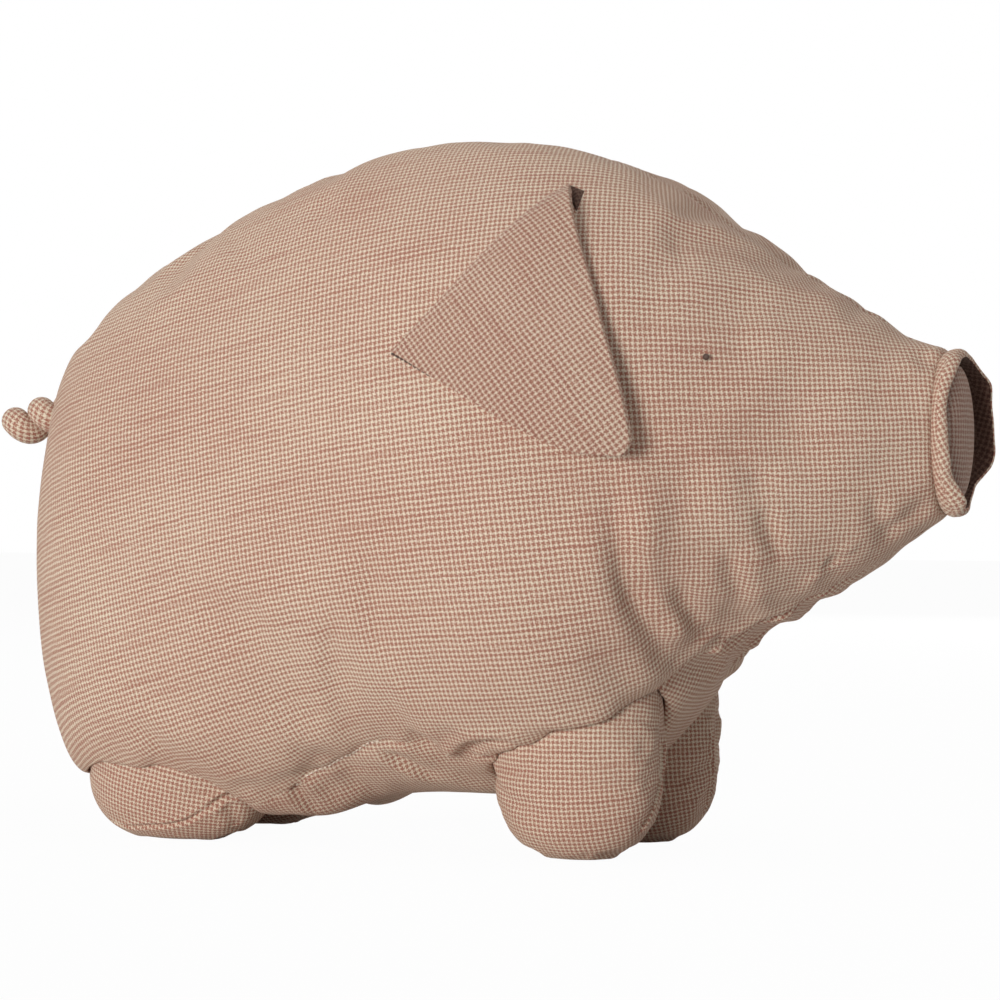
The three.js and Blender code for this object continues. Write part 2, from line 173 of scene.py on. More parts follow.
def white_to_camera(tree, shader, share):
    """Mixes plain white into what the camera, a mirror or a glass sees of a shader."""
    path = add_node(tree, "ShaderNodeLightPath")
    straight = add_node(tree, "ShaderNodeMath", {"operation": "MAXIMUM"},
                        {0: path.outputs["Is Camera Ray"], 1: path.outputs["Is Glossy Ray"]})
    either = add_node(tree, "ShaderNodeMath", {"operation": "MAXIMUM"},
                      {0: straight.outputs[0], 1: path.outputs["Is Transmission Ray"]})
    amount = add_node(tree, "ShaderNodeMath", {"operation": "MULTIPLY"},
                      {0: either.outputs[0], 1: share})
    white = add_node(tree, "ShaderNodeEmission", None, {"Color": (1, 1, 1, 1), "Strength": 1})
    return add_node(tree, "ShaderNodeMixShader", None,
                    {0: amount.outputs[0], 1: shader, 2: white.outputs[0]})


world = bpy.data.worlds.new("soft_daylight")
bpy.context.scene.world = world
sky_tree = empty_tree(world)
sky = add_node(sky_tree, "ShaderNodeBackground", None,
               {"Color": (1, 1, 1, 1), "Strength": WORLD_STRENGTH})
sky_shown = white_to_camera(sky_tree, sky.outputs[0], 1)
add_node(sky_tree, "ShaderNodeOutputWorld", None, {"Surface": sky_shown.outputs[0]})

for name, ((right, nearer, up), size, power) in SOFT_LIGHTS.items():
    lamp = placed(name, bpy.data.lights.new(name, "AREA"))
    lamp.data.size = size
    lamp.data.energy = power
    away = across * right + back * nearer + np.array([0, 0, up])
    lamp.location = CAMERA_TARGET + away
    lamp.rotation_euler = Vector(-away).to_track_quat("-Z", "Y").to_euler()

floor_material = bpy.data.materials.new("painted_studio_floor")
floor_tree = empty_tree(floor_material)
paint = add_node(floor_tree, "ShaderNodeBsdfDiffuse", None,
                 {"Color": (FLOOR_WHITE, FLOOR_WHITE, FLOOR_WHITE, 1)})
floor_shown = white_to_camera(floor_tree, paint.outputs[0], FLOOR_WHITENING)
add_node(floor_tree, "ShaderNodeOutputMaterial", None, {"Surface": floor_shown.outputs[0]})
floor_mesh = bpy.data.meshes.new("studio_floor")
corners = [(-FLOOR_HALF, -FLOOR_HALF, 0), (FLOOR_HALF, -FLOOR_HALF, 0),
           (FLOOR_HALF, FLOOR_HALF, 0), (-FLOOR_HALF, FLOOR_HALF, 0)]
floor_mesh.from_pydata(corners, [], [(0, 1, 2, 3)])
floor_mesh.materials.append(floor_material)
studio_floor = placed("studio_floor", floor_mesh)
print("light:", ", ".join(SOFT_LIGHTS), "and a white world")

# %% [markdown]
# ## The cloth
# The cloth is a micro check in plain weave: bands of rust and cream yarn cross bands of the
# same two yarns, so rust squares stand in a cream grid. Handspun-looking weft yarns are thicker
# and darker in places, which draws thin streaks along the pig. The pattern is read from each
# piece's own UV map, which is laid out in metres along the grain, so that it bends and gathers
# with the cloth as a print in space could not.

# %% The cloth's material
CHECK_PERIOD = 2.12 * MM
RUST_SHARE = 0.56
BAND_BLUR_SHARE = 0.06
THREAD_SHARE = 0.55
THREADS_PER_CHECK = 4
THREAD_RELIEF, RELIEF_STRENGTH = 0.16 * MM, 0.7
# How far a yarn wanders off its straight line, in checks, and how often
WANDER, WANDER_SCALE = 0.5, 0.35
BAND_RELIEF_SHARE = 0.35
SINGLE_RUST = 0.46
RUST_AT = 0.8
# Scale in checks, detail, the noise where it starts and is full, and what it adds to the rust
UNEVEN_YARNS = [
    ((0.03, 1.3, 1), 3, 0.54, 0.7, (0, 0.27)),
    ((3.3, 3.3, 1), 2, 0.25, 0.75, (-0.4, 0.4)),
    ((0.02, 0.03, 1), 2, 0.25, 0.75, (-0.08, 0.08)),
]
UV_MAP = "grain"


def linear(hex_colour):
    """An sRGB hex colour as linear RGBA."""
    shares = [int(hex_colour[at:at + 2], 16) / 255 for at in (1, 3, 5)]
    return tuple(c / 12.92 if c <= 0.04045 else ((c + 0.055) / 1.055) ** 2.4
                 for c in shares) + (1,)


def woven_check(name, rust, cream, streak):
    """Yarn-dyed cotton in plain weave: dull, with a soft fuzz that catches light at the edge."""
    material = bpy.data.materials.new(name)
    tree = empty_tree(material)

    # The grain in checks, with yarns that wander a little
    grain = add_node(tree, "ShaderNodeUVMap", {"uv_map": UV_MAP})
    checks = add_node(tree, "ShaderNodeVectorMath", {"operation": "SCALE"},
                      {0: grain.outputs[0], "Scale": 1 / CHECK_PERIOD})
    wander = add_node(tree, "ShaderNodeTexNoise", None,
                      {"Vector": checks.outputs[0], "Scale": WANDER_SCALE, "Detail": 3})
    yarns = add_node(tree, "ShaderNodeVectorMath", {"operation": "MULTIPLY_ADD"},
                     {0: wander.outputs["Color"], 1: (WANDER, WANDER, 0), 2: checks.outputs[0]})
    ways = add_node(tree, "ShaderNodeSeparateXYZ", None, {0: yarns.outputs[0]})

    # Bands of rust yarn one way and the other, 1 in rust and 0 in cream
    bands = []
    for way in (0, 1):
        middle = add_node(tree, "ShaderNodeMath", {"operation": "PINGPONG"},
                          {0: ways.outputs[way], 1: 0.5})
        soft = add_node(tree, "ShaderNodeMapRange", {"interpolation_type": "SMOOTHSTEP"},
                        {"Value": middle.outputs[0],
                         "From Min": (1 - RUST_SHARE) / 2 - BAND_BLUR_SHARE,
                         "From Max": (1 - RUST_SHARE) / 2 + BAND_BLUR_SHARE})
        bands.append(soft.outputs[0])
    both = add_node(tree, "ShaderNodeMath", {"operation": "MULTIPLY"},
                    {0: bands[0], 1: bands[1]})
    either = add_node(tree, "ShaderNodeMath", {"operation": "ADD"}, {0: bands[0], 1: bands[1]})
    crossing = add_node(tree, "ShaderNodeMath", {"operation": "MULTIPLY"},
                        {0: both.outputs[0], 1: 1 - 2 * SINGLE_RUST})
    amount = add_node(tree, "ShaderNodeMath", {"operation": "MULTIPLY_ADD"},
                      {0: either.outputs[0], 1: SINGLE_RUST, 2: crossing.outputs[0]})

    # Thread by thread: the weave shows the warp's colour and the weft's by turns
    fine = add_node(tree, "ShaderNodeVectorMath", {"operation": "SCALE"},
                    {0: yarns.outputs[0], "Scale": THREADS_PER_CHECK})
    over = add_node(tree, "ShaderNodeTexChecker", None,
                    {"Vector": fine.outputs[0], "Scale": 1,
                     "Color1": (1, 1, 1, 1), "Color2": (0, 0, 0, 1)})
    shown_thread = add_node(tree, "ShaderNodeMix", {"data_type": "FLOAT"},
                            {0: over.outputs["Fac"], 2: bands[1], 3: bands[0]})
    amount = add_node(tree, "ShaderNodeMix", {"data_type": "FLOAT"},
                      {0: THREAD_SHARE, 2: amount.outputs[0], 3: shown_thread.outputs[0]})

    # Slubs, specks and faded patches: noise stretched along the weft, fine noise and broad noise
    for scale, detail, low, high, size in UNEVEN_YARNS:
        drawn = add_node(tree, "ShaderNodeVectorMath", {"operation": "MULTIPLY"},
                         {0: yarns.outputs[0], 1: scale})
        grey = add_node(tree, "ShaderNodeTexNoise", None,
                        {"Vector": drawn.outputs[0], "Scale": 1, "Detail": detail})
        kept = add_node(tree, "ShaderNodeMapRange", {"interpolation_type": "SMOOTHSTEP"},
                        {"Value": grey.outputs[0], "From Min": low, "From Max": high,
                         "To Min": size[0], "To Max": size[1]})
        amount = add_node(tree, "ShaderNodeMath", {"operation": "ADD"},
                          {0: amount.outputs[0], 1: kept.outputs[0]})
    dyed = add_node(tree, "ShaderNodeValToRGB", None, {0: amount.outputs[0]})
    dyed.color_ramp.elements.new(RUST_AT)
    for stop, colour in zip(dyed.color_ramp.elements, (cream, rust, streak)):
        stop.color = linear(colour)

    # Relief: each thread is round, and the weave sets one above the other by turns
    threads = add_node(tree, "ShaderNodeSeparateXYZ", None, {0: fine.outputs[0]})
    arches = [add_node(tree, "ShaderNodeMath", {"operation": "PINGPONG"},
                       {0: threads.outputs[way], 1: 0.5}).outputs[0] for way in (0, 1)]
    crown = add_node(tree, "ShaderNodeMix", {"data_type": "FLOAT"},
                     {0: over.outputs["Fac"], 2: arches[0], 3: arches[1]})
    height = add_node(tree, "ShaderNodeMath", {"operation": "MULTIPLY_ADD"},
                      {0: either.outputs[0], 1: BAND_RELIEF_SHARE, 2: crown.outputs[0]})
    relief = add_node(tree, "ShaderNodeBump", None,
                      {"Strength": RELIEF_STRENGTH, "Distance": THREAD_RELIEF,
                       "Height": height.outputs[0]})
    cloth = add_node(tree, "ShaderNodeBsdfPrincipled", None,
                     {"Base Color": dyed.outputs[0], "Normal": relief.outputs[0],
                      "Roughness": 0.93, "Specular IOR Level": 0.18, "Sheen Weight": 0.2,
                      "Sheen Roughness": 0.55, "Sheen Tint": linear("#E9D8C6")})
    add_node(tree, "ShaderNodeOutputMaterial", None, {"Surface": cloth.outputs[0]})
    return material


check_cloth = woven_check("yarn_dyed_cotton_check", "#AC7E69", "#DFD3BD", "#9E695A")
# The ears' copy of the check is darker: painted shade for the head's shade that the ears lie in
shaded_ear_cloth = woven_check("yarn_dyed_cotton_check_ears_painted_shade", "#A17361", "#D0C1AC", "#916153")
# The snout dome's copy is darker still: painted shade for the dome's end, turned away from the key
# light
shaded_disc_cloth = woven_check("yarn_dyed_cotton_check_snout_painted_shade", "#93695C", "#B7A697", "#80584C")
# A near-black copy of the check: painted shade for the deep recess inside the snout's lip and the
# pocket beside each ear's top corner
painted_shade_cloth = woven_check("yarn_dyed_cotton_check_wrong_side", "#4C2F26", "#6A5347", "#3C231C")
print(f"cloth: check every {CHECK_PERIOD / MM} mm, {THREADS_PER_CHECK} threads to the check")

# %% [markdown]
# ## From grids of points to skins
# Every cloth piece starts as a grid of points. Points that fall together, as at the rump where
# the two side panels are sewn to each other, become one, so the skin is closed. The seams of
# the real toy are marked on it, and the skin is flattened along them into its pattern pieces.
# That gives each piece its grain: the real panels were cut flat from the cloth in the same way.


# %% Skins
WELD_WITHIN = 0.02 * MM
UNWRAP_MARGIN = 0.01
GRAIN_ROUNDS = 10
# The share of a panel, from its middle, to which its grain is fitted
GRAIN_REACH = 0.3


def weld(points):
    """The points of a grid with those that fall together made one, and where each one went."""
    flat = points.reshape(-1, 3)
    _, first, where = np.unique(np.round(flat / WELD_WITHIN), axis=0,
                                return_index=True, return_inverse=True)
    return flat[first], where.reshape(points.shape[:-1])


def skin(name, points, *cloths):
    """A mesh object over a closed grid of points, and the vertex number of each grid point."""
    vertices, where = weld(points)
    rows, columns = where.shape
    faces, kinds = [], []
    for row in range(rows - 1):
        for column in range(columns):
            after = (column + 1) % columns
            ring = [where[row, column], where[row, after],
                    where[row + 1, after], where[row + 1, column]]
            face = [int(v) for at, v in enumerate(ring) if v != ring[at - 1]]
            if len(set(face)) >= 3 and len(face) == len(set(face)):
                faces.append(face)
                kinds.append(column)
    mesh = bpy.data.meshes.new(name)
    mesh.from_pydata(vertices.tolist(), [], faces)
    column_of = mesh.attributes.new("column", "INT", "FACE")
    column_of.data.foreach_set("value", kinds)
    shaped = bmesh.new()
    shaped.from_mesh(mesh)
    bmesh.ops.recalc_face_normals(shaped, faces=shaped.faces)
    shaped.to_mesh(mesh)
    shaped.free()
    mesh.shade_smooth()
    for cloth in cloths:
        mesh.materials.append(cloth)
    return placed(name, mesh), where


def mark_seams(piece, lines):
    """Marks the edges along each line of vertex numbers as sewn."""
    sewn = {frozenset((int(a), int(b))) for line in lines for a, b in zip(line, line[1:])}
    for edge in piece.data.edges:
        if frozenset(edge.vertices) in sewn:
            edge.use_seam = True


def read(items, key, kind=float, width=1):
    """A property of each of a mesh's items, as one array."""
    values = np.empty(len(items) * width, kind)
    items.foreach_get(key, values)
    return values.reshape(-1, width) if width > 1 else values


def turned_by(points, turn):
    """Flat points turned about the origin."""
    c, s = math.cos(turn), math.sin(turn)
    return points @ np.array([[c, s], [-s, c]])


def alone(piece):
    """Makes a piece the only selected and active object."""
    bpy.ops.object.select_all(action="DESELECT")
    piece.select_set(True)
    bpy.context.view_layer.objects.active = piece


def settle(piece, modifier):
    """Applies a modifier for good."""
    alone(piece)
    bpy.ops.object.modifier_apply(modifier=modifier.name)


def lay_grain(piece, panels, even=False, stretch=(1, 1)):
    """Flattens a skin along its seams, then turns and sizes each panel's map to real metres.

    panels are (columns of the panel, the direction in which its weft runs, its grain's turn).
    The turn is fitted in the middle of the panel. stretch is how much longer the stuffing has
    made the checks along the weft and along the warp.
    """
    mesh = piece.data
    mesh.uv_layers.new(name=UV_MAP)
    alone(piece)
    bpy.ops.object.mode_set(mode="EDIT")
    bpy.ops.mesh.select_all(action="SELECT")
    bpy.ops.uv.unwrap(method="MINIMUM_STRETCH" if even else "ANGLE_BASED", fill_holes=False,
                      margin=UNWRAP_MARGIN, iterations=GRAIN_ROUNDS)
    bpy.ops.object.mode_set(mode="OBJECT")
    places = read(mesh.vertices, "co", width=3)[read(mesh.loops, "vertex_index", int)]
    flat = read(mesh.uv_layers[UV_MAP].uv, "vector", width=2)
    columns = read(mesh.attributes["column"].data, "value", int)
    sizes, starts = (read(mesh.polygons, key, int) for key in ("loop_total", "loop_start"))
    areas = read(mesh.polygons, "area")
    corner_column = np.repeat(columns, sizes)
    following = np.arange(len(mesh.loops)) + 1
    following[starts + sizes - 1] = starts
    cross = flat[:, 0] * flat[following, 1] - flat[:, 1] * flat[following, 0]
    drawn = np.abs(np.add.reduceat(cross, starts)) / 2
    for span, weft, turn in panels:
        mine = np.isin(corner_column, list(span))
        uv = flat[mine] - flat[mine].mean(axis=0)
        near = np.linalg.norm(uv, axis=1) < GRAIN_REACH * np.linalg.norm(uv, axis=1).max()
        run = places[mine][near] @ np.array(weft)
        known = np.column_stack([uv[near], np.ones(near.sum())])
        slope = np.linalg.lstsq(known, run, rcond=None)[0][:2]
        u_axis = slope / np.linalg.norm(slope)
        turned = np.stack([uv @ u_axis, uv @ np.array([-u_axis[1], u_axis[0]])], 1)
        faces = np.isin(columns, list(span))
        turned *= math.sqrt(areas[faces].sum() / drawn[faces].sum())
        flat[mine] = turned_by(turned, turn) / np.array(stretch)
    mesh.uv_layers[UV_MAP].uv.foreach_set("vector", flat.ravel())


def wrap_grain(piece, where, runs, around, turn):
    """Maps a tube's cloth from how far along it and how far round it each corner lies."""
    mesh = piece.data
    rows, columns = where.shape
    row_of, column_of = (np.zeros(len(mesh.vertices), int) for _ in range(2))
    row_of[where], column_of[where] = np.mgrid[0:rows, 0:columns]
    corner_vertex = read(mesh.loops, "vertex_index", int)
    first = np.repeat(read(mesh.attributes["column"].data, "value", int),
                      read(mesh.polygons, "loop_total", int))
    column = np.where(column_of[corner_vertex] == first, first, first + 1)
    flat = np.stack([runs[row_of[corner_vertex]], around * column / columns], 1)
    mesh.uv_layers.new(name=UV_MAP)
    mesh.uv_layers[UV_MAP].uv.foreach_set("vector", turned_by(flat, turn).ravel())


def smooth_through(xs, ys, x):
    """A curve through the points that never overshoots them."""
    xs, ys, x = (np.asarray(item, float) for item in (xs, ys, x))
    step = np.diff(xs)
    slope = np.diff(ys) / step
    before, after = slope[:-1], slope[1:]
    same = before * after > 0
    inner = np.where(same, 2 * before * after / np.where(same, before + after, 1), 0)
    slopes = np.concatenate([slope[:1], inner, slope[-1:]])
    at = np.clip(np.searchsorted(xs, x) - 1, 0, len(step) - 1)
    t = (x - xs[at]) / step[at]
    return ((1 + 2 * t) * (1 - t) ** 2 * ys[at] + t * (1 - t) ** 2 * step[at] * slopes[at]
            + t ** 2 * (3 - 2 * t) * ys[at + 1] - t ** 2 * (1 - t) * step[at] * slopes[at + 1])


def run_of(points):
    """How far along a line of points each one lies."""
    return np.concatenate([[0], np.cumsum(np.linalg.norm(np.diff(points, axis=0), axis=1))])


def evenly(points, steps):
    """Points at even steps along a line of points."""
    run = run_of(points)
    wanted = np.linspace(0, run[-1], steps + 1)
    return np.stack([np.interp(wanted, run, points[:, k]) for k in range(3)], -1)


def all_round(count):
    """Angles all the way round, at even steps."""
    return np.linspace(0, 2 * math.pi, count, endpoint=False)


def eased(share):
    """A smooth rise from 0 to 1."""
    share = np.clip(share, 0, 1)
    return share * share * (3 - 2 * share)


def faded(share, start, end):
    """1 along a line, falling to 0 over a share of it at its start and at its end."""
    return eased(share / start) * eased((1 - share) / end)


def bell(far):
    """1 in the middle, falling to 0 on both sides."""
    return np.exp(-far ** 2)


# %% [markdown]
# ## The body's shape
# The toy's body and head are two side panels and a belly gusset round one mass of stuffing.
# Sections across the pig give its shape: how high and how low the cloth reaches, how wide the
# stuffing pushes it, and how far the gusset spreads. They are shares of the frame's own sizes.

# %% The body's sections
right_low, right_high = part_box("side_panel_right")
_, left_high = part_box("side_panel_left")
gusset_low, gusset_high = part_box("belly_gusset")
RUMP_X, SNOUT_X = right_low[0], right_high[0]
BODY_LENGTH = SNOUT_X - RUMP_X
BODY_HEIGHT = right_high[2]
BODY_HALF_WIDTH = (left_high[1] - right_low[1]) / 2
GUSSET_HALF_WIDTH = (gusset_high[1] - gusset_low[1]) / 2
SECTION_POWER = 2.15
WIDEST_SHARE = 0.46
# A gusset narrower than this has run out, so the side panels meet each other
GUSSET_LEAST = 0.1 * MM
# How square the lower half of a section is: the stuffing hangs over the hind legs
LOWER_POWERS = np.array([
    (0, 2.15), (0.05, 2.7), (0.1, 3.3), (0.17, 3.7), (0.24, 3.5), (0.31, 2.9), (0.4, 2.35),
    (0.5, 2.2), (0.6, 2.15), (1, 2.15),
])

# How far the gusset's seam is pulled up over the belly: it is highest between the legs
SEAM_SPREAD = np.array([
    (0, 1), (0.3, 1), (0.34, 1.03), (0.37, 1.1), (0.405, 1.17), (0.449, 1.32), (0.48, 1.3),
    (0.512, 1.22), (0.54, 1.17), (0.6, 1.08), (0.66, 1), (1, 1),
])

# Shares: along the body, top, bottom, half width, gusset's half width
STATION_SHARES = np.array([
    (0, 0.6, 0.29, 0, 0),
    (0.007, 0.655, 0.215, 0.265, 0),
    (0.022, 0.7, 0.148, 0.405, 0.007),
    (0.046, 0.742, 0.1, 0.53, 0.12),
    (0.081, 0.785, 0.076, 0.635, 0.36),
    (0.128, 0.828, 0.066, 0.715, 0.62),
    (0.192, 0.87, 0.062, 0.785, 0.82),
    (0.262, 0.918, 0.058, 0.845, 0.94),
    (0.34, 0.958, 0.06, 0.9, 1),
    (0.422, 0.99, 0.076, 0.945, 1),
    (0.504, 1, 0.081, 0.985, 1),
    (0.575, 0.994, 0.08, 1, 1),
    (0.633, 0.977, 0.09, 0.99, 0.97),
    (0.685, 0.949, 0.135, 0.948, 0.88),
    (0.727, 0.919, 0.2, 0.885, 0.75),
    (0.763, 0.883, 0.264, 0.812, 0.6),
    (0.798, 0.85, 0.303, 0.728, 0.44),
    (0.84, 0.811, 0.334, 0.627, 0.3),
    (0.882, 0.772, 0.364, 0.518, 0.17),
    (0.922, 0.734, 0.398, 0.418, 0.06),
    (0.96, 0.704, 0.433, 0.316, 0.007),
    (1, 0.69, 0.465, 0.216, 0),
])


def section(along):
    """Top, bottom, half width and half gusset in metres, at shares along the body."""
    known, at = np.sqrt(STATION_SHARES[:, 0]), np.sqrt(along)
    top, bottom, wide, gusset = (smooth_through(known, STATION_SHARES[:, k], at)
                                 for k in range(1, 5))
    return (top * BODY_HEIGHT, bottom * BODY_HEIGHT, wide * BODY_HALF_WIDTH,
            gusset * GUSSET_HALF_WIDTH)


def lower_power(along):
    """How square the lower half of a section is, at shares along the body."""
    return smooth_through(LOWER_POWERS[:, 0], LOWER_POWERS[:, 1], along)


def height_at(top, bottom, rise):
    """Heights from a section's bottom (-1) over its widest place (0) to its top (1)."""
    middle = bottom + WIDEST_SHARE * (top - bottom)
    return middle + np.where(rise > 0, top - middle, middle - bottom) * rise


def on_section(along, angle):
    """Points of the right side's sections, from the top (angle 0) to the bottom (pi)."""
    top, bottom, wide, _ = section(along)
    cosine = np.cos(angle)
    power = 2 / np.where(cosine < 0, lower_power(along), SECTION_POWER)
    sine = np.maximum(np.sin(angle), 0) ** power
    rise = np.sign(cosine) * np.abs(cosine) ** power
    return np.stack([RUMP_X + along * BODY_LENGTH + 0 * angle, -wide * sine,
                     height_at(top, bottom, rise)], -1)


def gusset_angle(along):
    """The angle at which the side panel meets the gusset."""
    _, _, wide, gusset = section(along)
    spread = smooth_through(SEAM_SPREAD[:, 0], SEAM_SPREAD[:, 1], along)
    share = np.clip(gusset * spread / np.maximum(wide, 1e-9), 0, 1)
    turned = np.arcsin(share ** (lower_power(along) / 2))
    return np.where(gusset > GUSSET_LEAST, np.pi - turned, np.pi)


def body_point(along, round_share, side, lift=0.0):
    """Points over the body's side, a lift above it, in the frame's own shares."""
    along, lift = np.asarray(along, float), np.asarray(lift, float)
    top, bottom, wide, _ = section(along)
    top, bottom, wide = top + lift, bottom - lift, wide + lift
    angle = np.asarray(round_share) * math.pi
    rise = np.sign(np.cos(angle)) * np.abs(np.cos(angle)) ** (2 / SECTION_POWER)
    return np.stack([RUMP_X + along * BODY_LENGTH - lift * (1 - along),
                     side * wide * np.sin(angle) ** (2 / SECTION_POWER),
                     height_at(top, bottom, rise)], -1)


print(f"body: {BODY_LENGTH / MM:.0f} mm long, {2 * BODY_HALF_WIDTH / MM:.0f} mm wide")

# %% [markdown]
# ## The body's grid
# Rows cross the body and are spaced evenly along its flank. In each row the points are spaced
# evenly too, first down the side panel and then across half the gusset, so that the seams run
# along columns of the grid, where they can be gathered and drawn in.

# %% The body's grid
BODY_ROWS = 89
PANEL_STEPS = 48
GUSSET_STEPS = 7
FINE_STEPS = 400
# The lip is rolled back over the head's end, so the head's cloth stops short of it
SNOUT_DRAW, SNOUT_DRAW_FROM = 3.4 * MM, 0.92


def even_row(along, first, last, steps):
    """Points on one section between two angles, evenly spaced by length."""
    angles = np.linspace(first, last, FINE_STEPS)
    return evenly(on_section(np.full(FINE_STEPS, along), angles), steps)


fine_along = np.linspace(0, 1, FINE_STEPS * 4) ** 2
flank = on_section(fine_along, np.full(len(fine_along), 0.5 * np.pi))
flank_run = run_of(flank)
row_alongs = np.interp(np.linspace(0, flank_run[-1], BODY_ROWS), flank_run, fine_along)
right_half = []
for along in row_alongs:
    edge = float(gusset_angle(np.array(along)))
    panel_row = even_row(along, 0, edge, PANEL_STEPS)
    gusset_row = even_row(along, edge, math.pi, GUSSET_STEPS)
    right_half.append(np.concatenate([panel_row, gusset_row[1:]]))
right_half = np.array(right_half)
drawn_back = SNOUT_DRAW * eased((row_alongs - SNOUT_DRAW_FROM) / (1 - SNOUT_DRAW_FROM))
right_half[..., 0] -= drawn_back[:, None]
left_half = right_half[:, -2:0:-1] * MIRROR
body_grid = np.concatenate([right_half, left_half], axis=1)
print("body grid:", body_grid.shape[0], "rows of", body_grid.shape[1], "points")

# %% [markdown]
# ## Stuffing
# Stuffing presses the cloth outwards from everywhere inside, and the seams, which are a little
# shorter than the cloth beside them, hold it in. The cloth simulator does the same: pressure
# inside a skin whose seams shrink. The skin is held near its shape meanwhile, and only the
# folds are kept from the result, because the frame already has the right size.

# %% Stuffing
STUFFING_PRESSURE = 4
STUFFING_FRAMES = 20
SEAM_GATHER = 0.09
CLOTH_SLACK = 0.015
# The share that is kept of the broad swelling, which is told from folds by evening it out
SWELL_KEPT, SWELL_ROUNDS = 0.1, 40
# The cloth's own behaviour: woven cotton resists stretch far more than bending
WOVEN_COTTON = {
    "quality": 6, "mass": 0.2, "tension_stiffness": 25, "compression_stiffness": 25,
    "shear_stiffness": 8, "bending_stiffness": 0.4, "pin_stiffness": 0.6,
}


def places_of(piece):
    """The places of a piece's vertices."""
    return read(piece.data.vertices, "co", width=3)


def normals_at(piece):
    """The outward normals at a piece's vertices."""
    return read(piece.data.vertex_normals, "vector", width=3)


def put(piece, places):
    """Moves a piece's vertices."""
    piece.data.vertices.foreach_set("co", np.asarray(places).ravel())
    piece.data.update()


def edges_of(piece, sewn=False):
    """The vertex pairs of a piece's edges, all of them or those of its seams."""
    ends = read(piece.data.edges, "vertices", int, width=2)
    return ends[read(piece.data.edges, "use_seam", bool)] if sewn else ends


def spread_out(values, edges, rounds):
    """Evens out values over a mesh, each vertex with its neighbours."""
    count = np.maximum(np.bincount(edges.ravel(), minlength=len(values)), 1)[:, None]
    for _ in range(rounds):
        total = np.stack([np.bincount(edges[:, 0], values[edges[:, 1], k], len(values))
                          + np.bincount(edges[:, 1], values[edges[:, 0], k], len(values))
                          for k in range(values.shape[1])], 1)
        values = (values + total / count) / 2
    return values


def stuff(piece, held, kept, cap):
    """Blows a skin up with the cloth simulator and keeps its folds, up to a cap."""
    rest, edges = places_of(piece), edges_of(piece)
    gathered = np.zeros(len(rest))
    gathered[edges_of(piece, sewn=True).ravel()] = 1
    gathered = np.maximum(gathered, spread_out(gathered[:, None], edges, 1)[:, 0])
    for name, weights in (("held", held), ("gathered", gathered)):
        group = piece.vertex_groups.new(name=name)
        for vertex, weight in enumerate(weights):
            group.add([vertex], float(weight), "REPLACE")
    modifier = piece.modifiers.new("stuffing", "CLOTH")
    cloth = modifier.settings
    for key, value in WOVEN_COTTON.items():
        setattr(cloth, key, value)
    cloth.effector_weights.gravity = 0
    cloth.use_pressure = True
    cloth.uniform_pressure_force = STUFFING_PRESSURE
    cloth.vertex_group_mass = "held"
    cloth.vertex_group_shrink = "gathered"
    cloth.shrink_min, cloth.shrink_max = -CLOTH_SLACK, SEAM_GATHER
    modifier.collision_settings.use_collision = False
    for frame_number in range(1, STUFFING_FRAMES + 1):
        bpy.context.scene.frame_set(frame_number)
    blown = places_of(piece.evaluated_get(bpy.context.evaluated_depsgraph_get()))
    piece.modifiers.remove(modifier)
    bpy.context.scene.frame_set(1)
    piece.vertex_groups.clear()
    moves = blown - rest
    moves -= (1 - SWELL_KEPT) * spread_out(moves, edges, SWELL_ROUNDS)
    size = np.linalg.norm(moves, axis=1, keepdims=True)
    put(piece, rest + moves * np.minimum(1, cap / np.maximum(size, 1e-9)) * kept[:, None])
    print(f"{piece.name}: folds of up to {min(size.max(), cap) / MM:.1f} mm")


def refine(piece, levels):
    """Subdivides a skin smoothly, for good."""
    modifier = piece.modifiers.new("refine", "SUBSURF")
    modifier.levels = modifier.render_levels = levels
    settle(piece, modifier)


# %% [markdown]
# ## Folds and puckers
# Where the simulator's mesh is too coarse, the folds are pressed in one by one, as a sculptor
# would: a valley with a soft ridge on one side or both, along a line on the cloth. Seams pull
# the cloth into a groove, and short puckers run off it at right angles.


# %% Folds and puckers
LINE_STEP = 1.5 * MM
# A ridge's distance from its valley and its width, in widths of the valley, and the fold's reach
RIDGE_AT, RIDGE_WIDTH, FOLD_REACH = 1.7, 1.1, 4
PUCKER_REACH = 2.5
# How much slower the puckers change across a seam than along it
PUCKER_LENGTH = 0.5
PLACES_AT_ONCE = 4000


def line_on(surface, pixels, side=RIGHT):
    """The line on a surface that the camera sees through these pixels, or its mirror image."""
    hits = [surface.ray_cast(Vector(camera_place), sight_line(x, y))[0] for x, y in pixels]
    line = np.array([tuple(hit) for hit in hits if hit is not None])
    return line if side == RIGHT else line * MIRROR


def along_line(line, places, normals, reach):
    """For the places within reach of a line: which ones, how far, on which side, how far along.

    The side is positive to the left of the line, seen from outside.
    """
    lengths = run_of(line)
    steps = np.linspace(0, lengths[-1], max(int(lengths[-1] / LINE_STEP), 8))
    fine = np.stack([smooth_through(lengths, line[:, k], steps) for k in range(3)], 1)
    tangent = np.gradient(fine, axis=0)
    near = np.all((places > fine.min(axis=0) - reach) & (places < fine.max(axis=0) + reach), 1)
    which = np.flatnonzero(near)
    parts = np.array_split(places[which], len(which) // PLACES_AT_ONCE + 1)
    gap = np.concatenate([np.linalg.norm(part[:, None] - fine[None], axis=2).argmin(axis=1)
                          for part in parts])
    off = places[which] - fine[gap]
    distance = np.linalg.norm(off, axis=1)
    side = np.sign(np.einsum("ij,ij->i", np.cross(normals[which], tangent[gap]), off))
    close = distance < reach
    return which[close], distance[close], side[close], steps[gap[close]] / lengths[-1]


